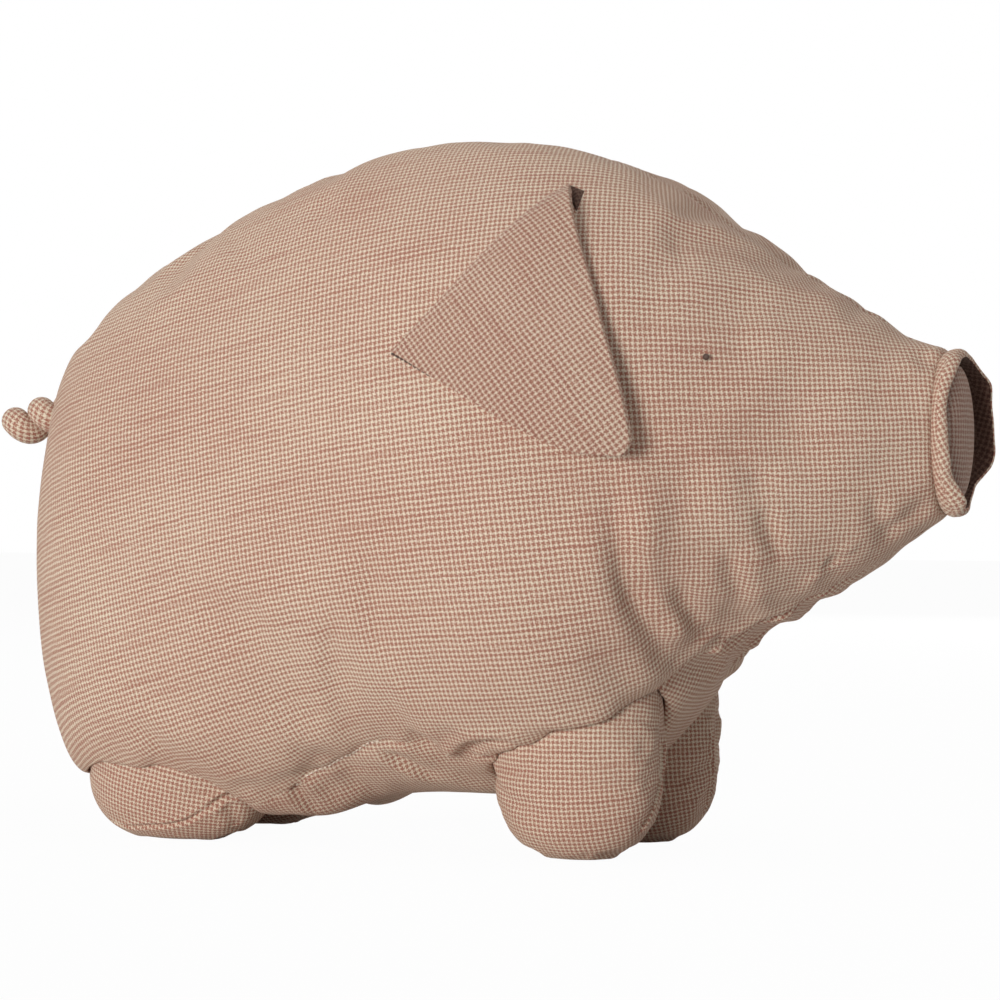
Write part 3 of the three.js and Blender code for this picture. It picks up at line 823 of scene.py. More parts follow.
def press_fold(piece, line, width, depth, left, right, ends):
    """Presses a valley along a line, with a ridge of its own height on each side."""
    places, normals = places_of(piece), normals_at(piece)
    which, distance, side, share = along_line(line, places, normals, width * FOLD_REACH)
    sided = distance * side
    move = -depth * bell(distance / width)
    move += left * bell((sided - RIDGE_AT * width) / (RIDGE_WIDTH * width))
    move += right * bell((sided + RIDGE_AT * width) / (RIDGE_WIDTH * width))
    places[which] += normals[which] * (move * faded(share, ends, ends))[:, None]
    put(piece, places)


def press_folds(near, far, surface, folds, far_share, ends):
    """Presses folds into the near side, where the photograph has them, and into the far side."""
    lines = [line_on(surface, pixels) for pixels, *_ in folds]
    for line, (_, width, *heights) in zip(lines, folds):
        for piece, place, share in ((near, line, 1), (far, (line * MIRROR)[::-1], far_share)):
            press_fold(piece, place, width * MM, *(height * share * MM for height in heights),
                       ends=ends)


def pucker_seam(piece, line, groove, groove_width, pucker, pucker_width, spacing, seed, ends):
    """Draws a seam in and sets short puckers across it, fading towards its ends."""
    places, normals = places_of(piece), normals_at(piece)
    which, distance, side, share = along_line(line, places, normals, pucker_width * PUCKER_REACH)
    length = np.linalg.norm(np.diff(line, axis=0), axis=1).sum()
    waves = np.array([noise.noise((s * length / spacing, d / pucker_width * PUCKER_LENGTH,
                                   seed + 7 * h)) for s, d, h in zip(share, distance, side)])
    move = -groove * bell(distance / groove_width)
    move += pucker * 2 * waves * bell(distance / pucker_width)
    places[which] += normals[which] * (move * faded(share, ends, ends))[:, None]
    put(piece, places)


def lump(piece, size, height, seed):
    """Lets uneven stuffing show as low lumps of about one size."""
    places, normals = places_of(piece), normals_at(piece)
    rise = np.array([noise.noise(Vector(place) / size + Vector((seed, 0, 0)))
                     for place in places])
    put(piece, places + normals * (rise * height)[:, None])


# %% [markdown]
# ## The stuffed body
# The grid becomes one closed skin of cloth. Its seams run along the back, along both edges of
# the gusset and round the snout. The end at the snout is closed with a flat disc of cloth,
# which the snout's own disc and lip cover.

# %% The body's skin
SNOUT_CAP_SHARES = [0.8, 0.5, 0.2, 0]
PANEL_GRAIN_TURN = math.radians(-8)
BODY_STRETCH = (0.93, 1.05)
# How firmly the simulator holds the skin near its shape, and the most that a fold may move it
BODY_HELD, BODY_FOLD_CAP = 0.12, 2.5 * MM
# The shares of the body over which the folds fade towards the rump and the snout
RUMP_FADE, SNOUT_FADE = 0.06, 0.22
REFINE_LEVELS = 2

snout_ring = body_grid[-1:]
snout_hub = snout_ring.mean(axis=1, keepdims=True)
cap_rows = [snout_hub + (snout_ring - snout_hub) * share for share in SNOUT_CAP_SHARES]
stuffed_body, body_where = skin("stuffed_body", np.concatenate([body_grid, *cap_rows]),
                                check_cloth)
gusset_edge, other_edge = PANEL_STEPS, body_grid.shape[1] - PANEL_STEPS
mark_seams(stuffed_body, [
    body_where[:BODY_ROWS, 0], body_where[:BODY_ROWS, gusset_edge],
    body_where[:BODY_ROWS, other_edge], body_where[0], body_where[BODY_ROWS - 1],
    np.append(body_where[BODY_ROWS - 1], body_where[BODY_ROWS - 1, 0]),
])
right_columns = range(0, gusset_edge)
left_columns = range(other_edge, body_grid.shape[1])
gusset_columns = range(gusset_edge, other_edge)
lay_grain(stuffed_body, [(right_columns, (1, 0, 0), PANEL_GRAIN_TURN),
                         (left_columns, (1, 0, 0), -PANEL_GRAIN_TURN),
                         (gusset_columns, (1, 0, 0), 0)], even=True, stretch=BODY_STRETCH)
ends_held = np.full(len(stuffed_body.data.vertices), BODY_HELD)
ends_held[np.unique(np.concatenate([body_where[0], body_where[BODY_ROWS - 1:].ravel()]))] = 1
along_at = (places_of(stuffed_body)[:, 0] - RUMP_X) / BODY_LENGTH
stuff(stuffed_body, ends_held, faded(along_at, RUMP_FADE, SNOUT_FADE), BODY_FOLD_CAP)
top_line, gusset_line, other_line = (places_of(stuffed_body)[body_where[:BODY_ROWS, column]]
                                     for column in (0, gusset_edge, other_edge))
refine(stuffed_body, REFINE_LEVELS)
print("stuffed body:", len(stuffed_body.data.polygons), "faces")

# %% [markdown]
# ## The body's folds
# The head is one with the body, so when the pig is stuffed, the cloth folds at the neck, under
# the jaw and over the legs. The folds on the near side are placed where the photograph shows
# them. The far side has the same ones a little softer, as the two panels are cut alike.

# %% The body's folds
# Pixels of the photograph, then width, depth, and the ridge on the left and the right, in mm
BODY_FOLDS = [
    ([(612, 470), (616, 520), (624, 569), (637, 604), (660, 642), (684, 676)], 6.5, 4.2, 2.8, 1),
    ([(650, 560), (668, 600), (694, 640)], 6, 1.4, 0.9, 0.6),
    ([(676, 566), (687, 607), (706, 640)], 5, 2.2, 1.1, 0.8),
    ([(726, 540), (733, 575), (748, 606)], 4.5, 2, 0.9, 0.9),
    ([(763, 500), (771, 535), (784, 566)], 4.5, 1.7, 0.8, 0.8),
    ([(826, 560), (838, 566), (852, 588)], 5, 1.8, 0.9, 0.8),
    ([(866, 490), (876, 510), (890, 548)], 4.5, 1.5, 0.8, 0.7),
    ([(700, 652), (712, 644), (726, 636)], 3.5, 2, 0.8, 1.2),
    ([(694, 440), (686, 490), (684, 540)], 8, 1.1, 0.5, 0.4),
    ([(757, 455), (758, 500), (764, 540)], 7, 0.9, 0.5, 0.4),
    ([(742, 292), (738, 330), (745, 372)], 8, 1, 0.4, 0.4),
    ([(640, 250), (652, 300), (654, 350)], 10, 0.9, 0.3, 0.3),
    ([(400, 728), (430, 748), (458, 766)], 6, 2.4, 1.2, 0.8),
    ([(458, 768), (468, 751), (484, 744), (500, 743), (518, 748), (540, 750)], 3.6, 2.6, 1.9, 0.3),
    ([(524, 746), (545, 738), (570, 735), (606, 726), (628, 720), (668, 700)], 5.5, 3, 2.2, 0.4),
    ([(585, 640), (610, 668), (640, 690)], 9, 1.4, 0.8, 0.4),
    ([(374, 746), (395, 758), (418, 769), (440, 782)], 3.2, 2, 0.2, 1.1),
    ([(290, 782), (304, 798), (322, 812)], 3.6, 1.8, 0.3, 1.5),
    ([(305, 185), (318, 200), (330, 222)], 6, 1.2, 0.5, 0.5),
    ([(230, 230), (243, 250), (262, 270)], 6, 0.9, 0.4, 0.4),
    ([(905, 330), (915, 352), (935, 372)], 5, 1.1, 0.6, 0.6),
    ([(880, 540), (905, 520), (934, 498)], 5, 1.3, 0.6, 0.6),
    ([(860, 400), (900, 395), (932, 392)], 7, 0.7, 0.4, 0.4),
    ([(850, 470), (895, 465), (932, 455)], 7, 0.8, 0.4, 0.4),
]
FAR_SHARE = 0.75
FOLD_ENDS = 0.3
# Size and height of the lumps, in mm, and a seed
LUMPS = [(60, 1, 3), (17, 0.25, 11)]
# Groove and its width, pucker and its width, and how far apart the puckers are, in mm, then the
# share of the seam over which they fade at each end
BACK_SEAM = (1.2, 2.4, 0.8, 9, 11), 0.08
GUSSET_SEAM = (1.5, 1.8, 1.2, 9, 12), 0.16
# Where the stuffing hangs over the hind legs' ends and in the gusset: place, reach, move, in mm
OVERHANGS = [((-178, -50, 38), 24, (0, -2, -9)), ((-74, -40, 26), 19, (0, -4, -9)),
             ((-50, -30, 22), 20, (0, -1, -6.5))]


def swell(piece, centre, reach, move):
    """Moves the cloth near a place, fading with distance."""
    places = places_of(piece)
    near = bell(np.linalg.norm(places - np.array(centre), axis=1) / reach)
    put(piece, places + near[:, None] * np.array(move))


for centre, reach, move in OVERHANGS:
    for mirror in (np.ones(3), MIRROR):
        swell(stuffed_body, np.array(centre) * mirror * MM, reach * MM,
              np.array(move) * mirror * MM)
body_surface = BVHTree.FromObject(stuffed_body, bpy.context.evaluated_depsgraph_get())
press_folds(stuffed_body, stuffed_body, body_surface, BODY_FOLDS, FAR_SHARE, FOLD_ENDS)
for size, height, seed in LUMPS:
    lump(stuffed_body, size * MM, height * MM, seed)
body_seams = (top_line, BACK_SEAM), (gusset_line, GUSSET_SEAM), (other_line, GUSSET_SEAM)
for seed, (line, (sizes, ends)) in enumerate(body_seams, 1):
    pucker_seam(stuffed_body, line, *(size * MM for size in sizes), seed, ends)
print("folds:", len(BODY_FOLDS), "on each side")

# %% [markdown]
# ## The legs
# Each leg is a stub with an outer and an inner cover, sewn together at its front, its back and
# across its sole. The stubs are rounded like a well-filled bag. Each skin stays where it is
# built and rides on no body.

# %% The legs
LEG_POWER = 2.9
SOLE_CUT = 0.5 * MM
LEG_COLUMNS = 64
LEG_ROWS = 60
HIND_GRAIN_TURN = math.radians(13)
LEG_STRETCH = (0.92, 0.92)
LEG_FOLD_ENDS = 0.1
# As for the body's skin. The lowest slice of the sole stays in place
LEG_HELD, LEG_FOLD_CAP, SOLE_SLICE = 0.15, 1.2 * MM, 0.5 * MM
# The seams on the legs' near sides and the creases beside them, as for the body
LEG_FOLDS = {
    "leg_hind": [
        ([(108, 818), (125, 826), (152, 826), (182, 822), (200, 813), (208, 806)],
         1.2, 1.4, 0.6, 0.4),
        ([(206, 809), (220, 800), (236, 793), (262, 788)], 1.5, 2, 1, 0.9),
        ([(226, 800), (232, 812), (236, 826)], 3, 0.7, 0.4, 0.4),
        ([(150, 800), (190, 796), (226, 788)], 5, 0.5, 0.4, 0.3),
    ],
    "leg_front": [
        ([(664, 736), (660, 774), (656, 796), (648, 816), (638, 834)], 1.3, 2, 1.1, 0.5),
        ([(512, 800), (530, 812), (560, 818)], 5, 0.5, 0.4, 0.3),
        ([(640, 740), (648, 760), (650, 790)], 4, 0.5, 0.3, 0.3),
    ],
}

legs = {}
for joint in frame["joints"]:
    if not joint["name"].startswith("hip"):
        continue
    name = joint["child"]
    low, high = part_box(f"{name}_outer_cover")
    inner_low, inner_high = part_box(f"{name}_inner_cover")
    filling_low, filling_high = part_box(f"{name}_filling")
    right_y, left_y = min(low[1], inner_low[1]), max(high[1], inner_high[1])
    middle = np.array([(low[0] + high[0]) / 2, (left_y + right_y) / 2, 0])
    legs[name] = {"middle": middle, "length": high[0] - low[0], "width": left_y - right_y,
                  "height": filling_high[2] + filling_low[2], "hip": joint["pos_m"][2],
                  "side": RIGHT if middle[1] < 0 else LEFT}


def leg_spread(leg, heights, least=0.0):
    """How much of its full size a leg's section has at heights above its sole."""
    half = (leg["height"] + SOLE_CUT) / 2
    off_middle = np.clip(np.abs((heights + SOLE_CUT - half) / half), 0, 1)
    return np.maximum(1 - off_middle ** LEG_POWER, least) ** (1 / LEG_POWER)


def leg_ring(leg, height, angles, grown=0.0):
    """Points round a leg at a height above its sole."""
    spread = leg_spread(leg, height)
    place = np.zeros((len(angles), 3))
    place[:, 0] = (leg["length"] / 2 + grown) * spread * np.cos(angles)
    place[:, 1] = (leg["width"] / 2 + grown) * spread * np.sin(angles)
    place[:, 2] = height * (leg["height"] + 2 * grown) / leg["height"] - grown
    return place + leg["middle"]


def leg_grid(leg, grown=0.0):
    """Rings of points from the middle of the sole up to the middle of the top."""
    fine = np.linspace(0, leg["height"], 4 * FINE_STEPS)
    spread = leg_spread(leg, fine)
    radius = (leg["length"] + leg["width"]) / 4
    steps = np.hypot(np.diff(fine), np.diff(spread) * radius)
    run = spread[0] * radius + np.concatenate([[0], np.cumsum(steps)])
    last = run[-1] + spread[-1] * radius
    rows = []
    for at in np.linspace(0, last, LEG_ROWS + 1):
        inside = min(at / run[0], (last - at) / max(last - run[-1], 1e-9), 1)
        ring = leg_ring(leg, float(np.interp(at, run, fine)), all_round(LEG_COLUMNS), grown)
        hub = ring.mean(axis=0)
        rows.append(hub + (ring - hub) * max(inside, 0))
    return np.array(rows)


leg_skins = {}
half_way = LEG_COLUMNS // 2
for name, leg in legs.items():
    piece, where = skin(f"{name}_stub", leg_grid(leg), check_cloth)
    mark_seams(piece, [where[:, 0], where[:, half_way]])
    turn = HIND_GRAIN_TURN * -leg["side"] if "hind" in name else 0
    lay_grain(piece, [(range(0, half_way), (1, 0, 0), turn),
                      (range(half_way, LEG_COLUMNS), (1, 0, 0), turn)],
              even=True, stretch=LEG_STRETCH)
    leg_skins[name] = piece
for name, piece in leg_skins.items():
    heights = places_of(piece)[:, 2]
    free = (heights <= legs[name]["hip"]) & (heights >= SOLE_SLICE)
    stuff(piece, np.where(free, LEG_HELD, 1), free.astype(float), LEG_FOLD_CAP)
    refine(piece, REFINE_LEVELS)
for name, folds in LEG_FOLDS.items():
    near_leg, far_leg = (leg_skins[f"{name}_{side}"] for side in SIDES)
    leg_surface = BVHTree.FromObject(near_leg, bpy.context.evaluated_depsgraph_get())
    press_folds(near_leg, far_leg, leg_surface, folds, 1, LEG_FOLD_ENDS)
print("legs:", ", ".join(f"{name} {leg['height'] / MM:.0f} mm" for name, leg in legs.items()))

# %% [markdown]
# ## Where the legs meet the body
# The body's cloth rolls in to meet each leg, so there is a soft crease round it. Inside, the
# body leaves room for the leg's hidden top, which a Boolean cuts out cleanly.

# %% Where the legs meet the body
ROLL_RADIUS = 4.5 * MM
SOCKET_ROOM = 0.8 * MM
# The roll is full wherever the cloth faces down by more than 1 / ROLL_FACING of straight down
ROLL_FACING = 2.6

places, normals = places_of(stuffed_body), normals_at(stuffed_body)
pull = np.zeros(len(places))
for leg in legs.values():
    spread = leg_spread(leg, places[:, 2], 1e-6)
    radii = np.array([leg["length"], leg["width"]]) / 2 * spread[:, None]
    ratio = (places[:, :2] - leg["middle"][:2]) / radii
    off_centre = np.maximum(np.linalg.norm(ratio, axis=1), 1e-6)
    slope = np.linalg.norm(ratio / radii, axis=1) / off_centre
    gap = np.clip((off_centre - 1) / slope, 0, ROLL_RADIUS)
    rolled = ROLL_RADIUS - np.sqrt(ROLL_RADIUS ** 2 - (ROLL_RADIUS - gap) ** 2)
    facing_down = np.clip(-ROLL_FACING * normals[:, 2], 0, 1)
    pull = np.maximum(pull, np.where(places[:, 2] < leg["height"], rolled * facing_down, 0))
put(stuffed_body, places - normals * pull[:, None])
for name, leg in legs.items():
    cutter, _ = skin("socket_room", leg_grid(leg, SOCKET_ROOM))
    modifier = stuffed_body.modifiers.new("socket", "BOOLEAN")
    modifier.operation, modifier.solver, modifier.object = "DIFFERENCE", "MANIFOLD", cutter
    settle(stuffed_body, modifier)
    bpy.data.objects.remove(cutter)
print("body with its four sockets:", len(stuffed_body.data.polygons), "faces")

# %% [markdown]
# ## The ears
# An ear is a triangle of cloth, doubled and turned, with a rounded tip. It is sewn to the side
# of the head along its back edge only and lies on the head, so it follows the head's curve and
# stands off a little more towards its tip. Each one is a thin bag of two layers with a soft
# rounded border, laid over the head from the same shares as the frame's ears.

# %% The ears
EAR_BACK, EAR_TOP, EAR_TIP = (0.5165, 0.392), (0.6555, 0.171), (0.779, 0.522)
# The flap's two free edges: how far from the sewn edge, lower edge and upper edge
EAR_EDGES = np.array([
    (0, 0, 1), (0.16, 0.01, 1.027), (0.3, 0.03, 1.032), (0.46, 0.06, 1.055), (0.6, 0.085, 1.08),
    (0.71, 0.1, 1.112), (0.76, 0.115, 1.125), (0.82, 0.19, 1.138), (0.88, 0.35, 1.11),
    (0.905, 0.57, 1.06), (0.9125, 0.8, 0.95),
])
EAR_BOW = 0.055
EAR_STANDOFF = 0.6 * MM
EAR_TIP_STANDOFF = 16 * MM
EAR_FRONT_RISE, EAR_FRONT_AT, EAR_FRONT_REACH = 5 * MM, 0.16, 0.14
EAR_LIFT_POWER = 1.5
EAR_THICKNESS = 2.7 * MM
EAR_ROWS, EAR_COLUMNS = 72, 72
# Rows lie closer together near the tip
EAR_ROW_POWER = 1.25
# How soon the bag is full away from its sides (in half widths), its tip and its sewn edge (in
# rows), and how full it is at the sewn edge
EAR_BORDER, EAR_TIP_BORDER, EAR_SEWN_BORDER, EAR_SEWN_FULL = 9, 0.4, 0.5, 0.15
EAR_GRAIN_TURN = math.radians(50)
# The dent along the sewn edge: its reach, then width, depth and ridges in mm
EAR_HEM_REACH, EAR_HEM, EAR_HEM_ENDS = 0.035, (0.9, 0.5, 0.15, 0.3), 0.05
EAR_HEM_STEPS, EAR_HEM_INSET = 40, 0.03


def ear_place(reach, across, side, lift):
    """Points over the head's side: reach runs from the sewn edge to the tip."""
    reach = reach + EAR_BOW * (1 - (2 * across - 1) ** 2) * (1 - reach)
    along, rounds = ((1 - reach) * ((1 - across) * EAR_BACK[k] + across * EAR_TOP[k])
                     + reach * EAR_TIP[k] for k in (0, 1))
    front = (np.clip(across, 0, 1.2) ** 2 * eased(reach / EAR_FRONT_AT * 2)
             * bell((reach - EAR_FRONT_AT) / EAR_FRONT_REACH))
    off = EAR_STANDOFF + EAR_TIP_STANDOFF * reach ** EAR_LIFT_POWER + EAR_FRONT_RISE * front + lift
    return body_point(along, rounds, side, off)


ear_skins = {}
reaches = EAR_EDGES[:, 0]
row_at, column_at = np.mgrid[0:EAR_ROWS + 1, 0:EAR_COLUMNS + 1]
reach_at = reaches[-1] * (1 - (1 - row_at / EAR_ROWS) ** EAR_ROW_POWER)
lower_at, upper_at = (smooth_through(reaches, EAR_EDGES[:, k], reach_at) for k in (1, 2))
share_at = 2 * column_at / EAR_COLUMNS - 1
across_at = (lower_at + upper_at + (upper_at - lower_at) * np.sin(share_at * math.pi / 2)) / 2
border = np.minimum.reduce([np.ones(row_at.shape), (1 - abs(share_at)) * EAR_BORDER,
                            (EAR_ROWS - row_at) * EAR_TIP_BORDER,
                            row_at * EAR_SEWN_BORDER + EAR_SEWN_FULL])
puff_at = np.sqrt(np.maximum(border * (2 - border), 0))
for side_name, side in SIDES.items():
    layers = [ear_place(reach_at, across_at, side, EAR_THICKNESS * (0.5 + sign * 0.5 * puff_at))
              for sign in (1, -1)]
    grid = np.concatenate([layers[0], layers[1][:, ::-1]], axis=1)
    # The flap takes the ears' darker copy of the check, which is painted shade
    piece, where = skin(f"ear_{side_name}_flap", grid, shaded_ear_cloth)
    wide = EAR_COLUMNS + 1
    mark_seams(piece, [where[:, 0], where[:, wide - 1], where[:, wide], where[:, -1],
                       where[0], where[-1]])
    lay_grain(piece, [(range(0, wide - 1), (1, 0, 0), EAR_GRAIN_TURN),
                      (range(wide - 1, 2 * wide), (1, 0, 0), -EAR_GRAIN_TURN)])
    run = np.linspace(EAR_HEM_INSET, 1 - EAR_HEM_INSET, EAR_HEM_STEPS)
    hem = ear_place(EAR_HEM_REACH * np.ones(EAR_HEM_STEPS), run, side, EAR_THICKNESS)
    press_fold(piece, hem, *(size * MM for size in EAR_HEM), ends=EAR_HEM_ENDS)
    ear_skins[side_name] = piece
print("ears:", len(piece.data.polygons), "faces each")

# %% The tuck beside each ear's top corner, a small fold in painted shade
# Its corners in the photograph: at the ear, on the head, and down along the ear's free edge
TUCK_CORNERS = [(567, 184), (585, 191), (577, 218)]
TUCK_STEPS = 14
TUCK_RISE = 2.4 * MM
TUCK_POWER = 0.6
# Where the tuck is fullest, how much it is rumpled, and in what waves across and down it
TUCK_FULL, TUCK_RUMPLE, TUCK_WAVES = 0.2, 0.3, (9, 4)
TUCK_GRAIN_TURN = math.radians(35)

tucks = {}
for side_name, side in SIDES.items():
    corner, outer, foot = line_on(body_surface, TUCK_CORNERS, side)
    outside = np.array([0, side, 0])
    grid = []
    for down in np.linspace(0, 1, TUCK_STEPS + 1):
        near, far = corner + (foot - corner) * down, outer + (foot - outer) * down
        row = [near + (far - near) * share for share in np.linspace(0, 1, TUCK_STEPS + 1)]
        puffs = [math.sin(math.pi * share) ** TUCK_POWER
                 * math.sin(math.pi * min(down + TUCK_FULL, 1)) ** TUCK_POWER
                 * (1 + TUCK_RUMPLE * math.sin(TUCK_WAVES[0] * share + TUCK_WAVES[1] * down))
                 for share in np.linspace(0, 1, TUCK_STEPS + 1)]
        upper = [place + outside * TUCK_RISE * puff for place, puff in zip(row, puffs)]
        lower = [place - outside * TUCK_RISE for place in row[::-1]]
        grid.append(upper + lower)
    # The tuck is a small real fold, and its near-black cloth is painted shade for the pocket under
    # the ear's corner
    piece, where = skin(f"ear_{side_name}_tuck", np.array(grid), painted_shade_cloth)
    mark_seams(piece, [where[:, 0], where[:, TUCK_STEPS], where[0], where[-1]])
    lay_grain(piece, [(range(TUCK_STEPS), (1, 0, 0), TUCK_GRAIN_TURN),
                      (range(TUCK_STEPS, 2 * TUCK_STEPS + 2), (1, 0, 0), 0)])
    tucks[side_name] = piece
print("tucks:", len(tucks))

# %% [markdown]
# ## The snout
# The snout's end is a small dome of cloth, drawn tight over its stuffing, inside a rolled lip of
# folded cloth. The lip is gathered where it is sewn on, so its free edge waves, and it is pinched
# at the top and the bottom.

# %% The snout's lip and disc
rim_low, rim_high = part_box("snout_rim")
disc_low, disc_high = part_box("snout_disc")
LIP_STEPS, LIP_SECTION = 288, 28
LIP_THICKNESS = 3.4 * MM
LIP_PLEAT = 1.6 * MM
# Degrees round the snout from its top and how far the lip's free edge stands out there, in mm
LIP_EDGES = {
    RIGHT: [(0, 4.4), (25, 4.9), (42, 4.4), (60, 2.6), (80, 2.6), (100, 3.2), (119, 3.9),
            (132, 6), (148, 7.6), (165, 5), (180, 2.8)],
    LEFT: [(0, 4.4), (25, 5.5), (40, 7.8), (55, 10), (75, 10.2), (98, 10.9), (113, 9.4),
           (120, 7.4), (131, 4), (142, 3.4), (155, 3.6), (180, 2.8)],
}
LIP_TUCK = 4.4 * MM
# The lip's inner columns, which get the near-black painted shade
LIP_SHADED_COLUMNS = range(9, 21)
LIP_FLARE = 0.5 * MM
LIP_ROLL = 1.7 * MM
# The free edge's waves: height, then for each its number, start and share
LIP_WAVE, LIP_WAVES = 0.5 * MM, ((7, 1, 1), (13, 2, 0.7))
LIP_WAVE_OUTWARD = 0.6
# Powers: below 1 they square a curve off, and above 1 they sharpen it
LIP_PINCH_POWER, LIP_FRONT_POWER, LIP_SIDE_POWER, LIP_ROLL_POWER = 8, 0.6, 0.8, 0.7
snout_half_width = (rim_high[1] - rim_low[1]) / 2
snout_half_height = (rim_high[2] - rim_low[2]) / 2 + LIP_PLEAT
snout_middle = (rim_high[2] + rim_low[2]) / 2
snout_root = rim_low[0]


def squared(value, power):
    """A sine or cosine with its curve squared off, its sign kept."""
    return math.copysign(abs(value) ** power, value)


lip_rows = []
for step in range(LIP_STEPS + 1):
    turn = 2 * math.pi * step / LIP_STEPS
    aside = math.sin(turn)
    pinch = LIP_PLEAT * math.cos(turn) ** LIP_PINCH_POWER
    known = np.array(LIP_EDGES[LEFT if aside > 0 else RIGHT])
    round_it = math.degrees(math.acos(max(min(math.cos(turn), 1), -1)))
    depth = float(smooth_through(known[:, 0], known[:, 1], round_it)) * MM
    waves = sum(share * math.sin(number * turn + start) for number, start, share in LIP_WAVES)
    wave = LIP_WAVE * waves / sum(share for *_, share in LIP_WAVES)
    ring = []
    for corner in range(LIP_SECTION):
        angle = 2 * math.pi * corner / LIP_SECTION
        free = (1 + squared(math.sin(angle), LIP_FRONT_POWER)) / 2
        thick = LIP_THICKNESS / 2 * squared(math.cos(angle), LIP_SIDE_POWER)
        outward = (thick - LIP_THICKNESS / 2 - pinch + LIP_FLARE * (2 * free - 1)
                   + LIP_ROLL * math.sin(math.pi * free) ** LIP_ROLL_POWER
                   + free * wave * LIP_WAVE_OUTWARD)
        ring.append((snout_root - LIP_TUCK + (depth + LIP_TUCK + wave * free) * free,
                     (snout_half_width + outward) * aside,
                     snout_middle + (snout_half_height + outward) * math.cos(turn)))
    lip_rows.append(ring)
snout_lip, lip_where = skin("snout_lip", np.array(lip_rows), check_cloth, painted_shade_cloth)
# The lip's inner faces take the near-black copy: painted shade for the deep recess inside the lip
for face, column in zip(snout_lip.data.polygons, snout_lip.data.attributes["column"].data):
    face.material_index = int(column.value in LIP_SHADED_COLUMNS)
half_section = LIP_SECTION // 2
mark_seams(snout_lip, [lip_where[:, 0], lip_where[:, half_section], lip_where[0]])
lay_grain(snout_lip, [(range(0, half_section), (0, 0, 1), 0),
                      (range(half_section, LIP_SECTION), (0, 0, 1), 0)])

DISC_RINGS, DISC_COLUMNS, DISC_POWER = 30, 96, 0.9
DISC_BACK_SHARES = (0, 0.4, 0.8)
disc_rows = []
disc_crown = disc_high[0] - disc_low[0]
for ring in range(DISC_RINGS + 1):
    slope = 0.5 * math.pi * ring / DISC_RINGS
    disc_rows.append([(disc_low[0] + disc_crown * math.sin(slope) ** DISC_POWER,
                       disc_high[1] * math.cos(slope) * math.sin(turn),
                       snout_middle + (disc_high[2] - disc_low[2]) / 2
                       * math.cos(slope) * math.cos(turn))
                      for turn in all_round(DISC_COLUMNS)])
back_rows = [[(disc_low[0], y * share, snout_middle + (z - snout_middle) * share)
              for _, y, z in disc_rows[0]] for share in DISC_BACK_SHARES]
# The dome takes the darker copy of the check, which is painted shade
snout_disc, disc_where = skin("snout_dome", np.array(back_rows + disc_rows), shaded_disc_cloth)
disc_edge = disc_where[len(back_rows)]
mark_seams(snout_disc, [np.append(disc_edge, disc_edge[0])])
lay_grain(snout_disc, [(range(DISC_COLUMNS), (0, 0, 1), 0)])
print("snout lip and dome:", len(snout_lip.data.polygons) + len(snout_disc.data.polygons))

# %% [markdown]
# ## The tail
# The tail is a stuffed tube that twists like a short rope, so it reads as two fat lobes.

# %% The tail
tail_low, tail_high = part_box("tail")
TAIL_TUBE, TAIL_REACH, TAIL_CURL, TAIL_TURNS = 13.2 * MM, 38 * MM, 20 * MM, 2.5
TAIL_DROOP, TAIL_START, TAIL_LIFT = math.radians(18), math.radians(72), 2.7 * MM
# Where along the tail its curl is full, as a share of its length
CURL_FULL_AT = 0.35
TAIL_STEPS, TAIL_SIDES = 220, 40
TAIL_GRAIN_TURN = math.radians(12)
TAIL_ROOT = 3.4 * MM
TAIL_STRETCH = 1.35
tail_axis = np.array([-math.cos(TAIL_DROOP), 0, -math.sin(TAIL_DROOP)])
tail_side = np.array([0, 1, 0])
tail_up = -np.cross(tail_side, tail_axis)
curl_radius = (TAIL_CURL - TAIL_TUBE) / 2


def tail_line(share):
    """The middle of the twisted tail, at a share of its length."""
    angle = TAIL_START + 2 * math.pi * TAIL_TURNS * share
    swing = curl_radius * min(share / CURL_FULL_AT, 1)
    return (tail_axis * share * TAIL_REACH + tail_up * swing * math.cos(angle)
            - tail_side * swing * math.sin(angle))


tail_path = np.array([tail_line(share) for share in np.linspace(0, 1, 4 * TAIL_STEPS)])
tail_length = run_of(tail_path)[-1]
tail_even = evenly(tail_path, TAIL_STEPS)
tangents = np.gradient(tail_even, axis=0)
tangents /= np.linalg.norm(tangents, axis=1, keepdims=True)
normal = np.cross(tangents[0], tail_side)
tail_rows = []
for step, (place, tangent) in enumerate(zip(tail_even, tangents)):
    normal = normal - tangent * (normal @ tangent)
    normal /= np.linalg.norm(normal)
    other = np.cross(tangent, normal)
    to_end = min(step, TAIL_STEPS - step) / TAIL_STEPS * tail_length
    rounded = min(to_end / (TAIL_TUBE / 2), 1)
    radius = TAIL_TUBE / 2 * math.sqrt(max(1 - (1 - rounded) ** 2, 0))
    tail_rows.append([place + radius * (normal * math.cos(turn) + other * math.sin(turn))
                      for turn in all_round(TAIL_SIDES)])
tail_rows = np.array(tail_rows)
tail_rows[..., 0] += tail_high[0] + TAIL_ROOT - tail_rows[..., 0].max()
tail_rows[..., 2] += (tail_high[2] + tail_low[2] - tail_rows[..., 2].max()
                      - tail_rows[..., 2].min()) / 2 + TAIL_LIFT
curled_tail, tail_where = skin("curled_tail", tail_rows, check_cloth)
mark_seams(curled_tail, [tail_where[:, 0]])
wrap_grain(curled_tail, tail_where, np.linspace(0, TAIL_STRETCH * tail_length, TAIL_STEPS + 1),
           math.pi * TAIL_TUBE, TAIL_GRAIN_TURN)
print("tail:", np.round(tail_rows.reshape(-1, 3).min(axis=0) / MM, 1))

# %% [markdown]
# ## The eyes
# Each eye is a small knot embroidered in dark brown thread.

# %% The eyes
KNOT_SEGMENTS, KNOT_RINGS = 24, 16


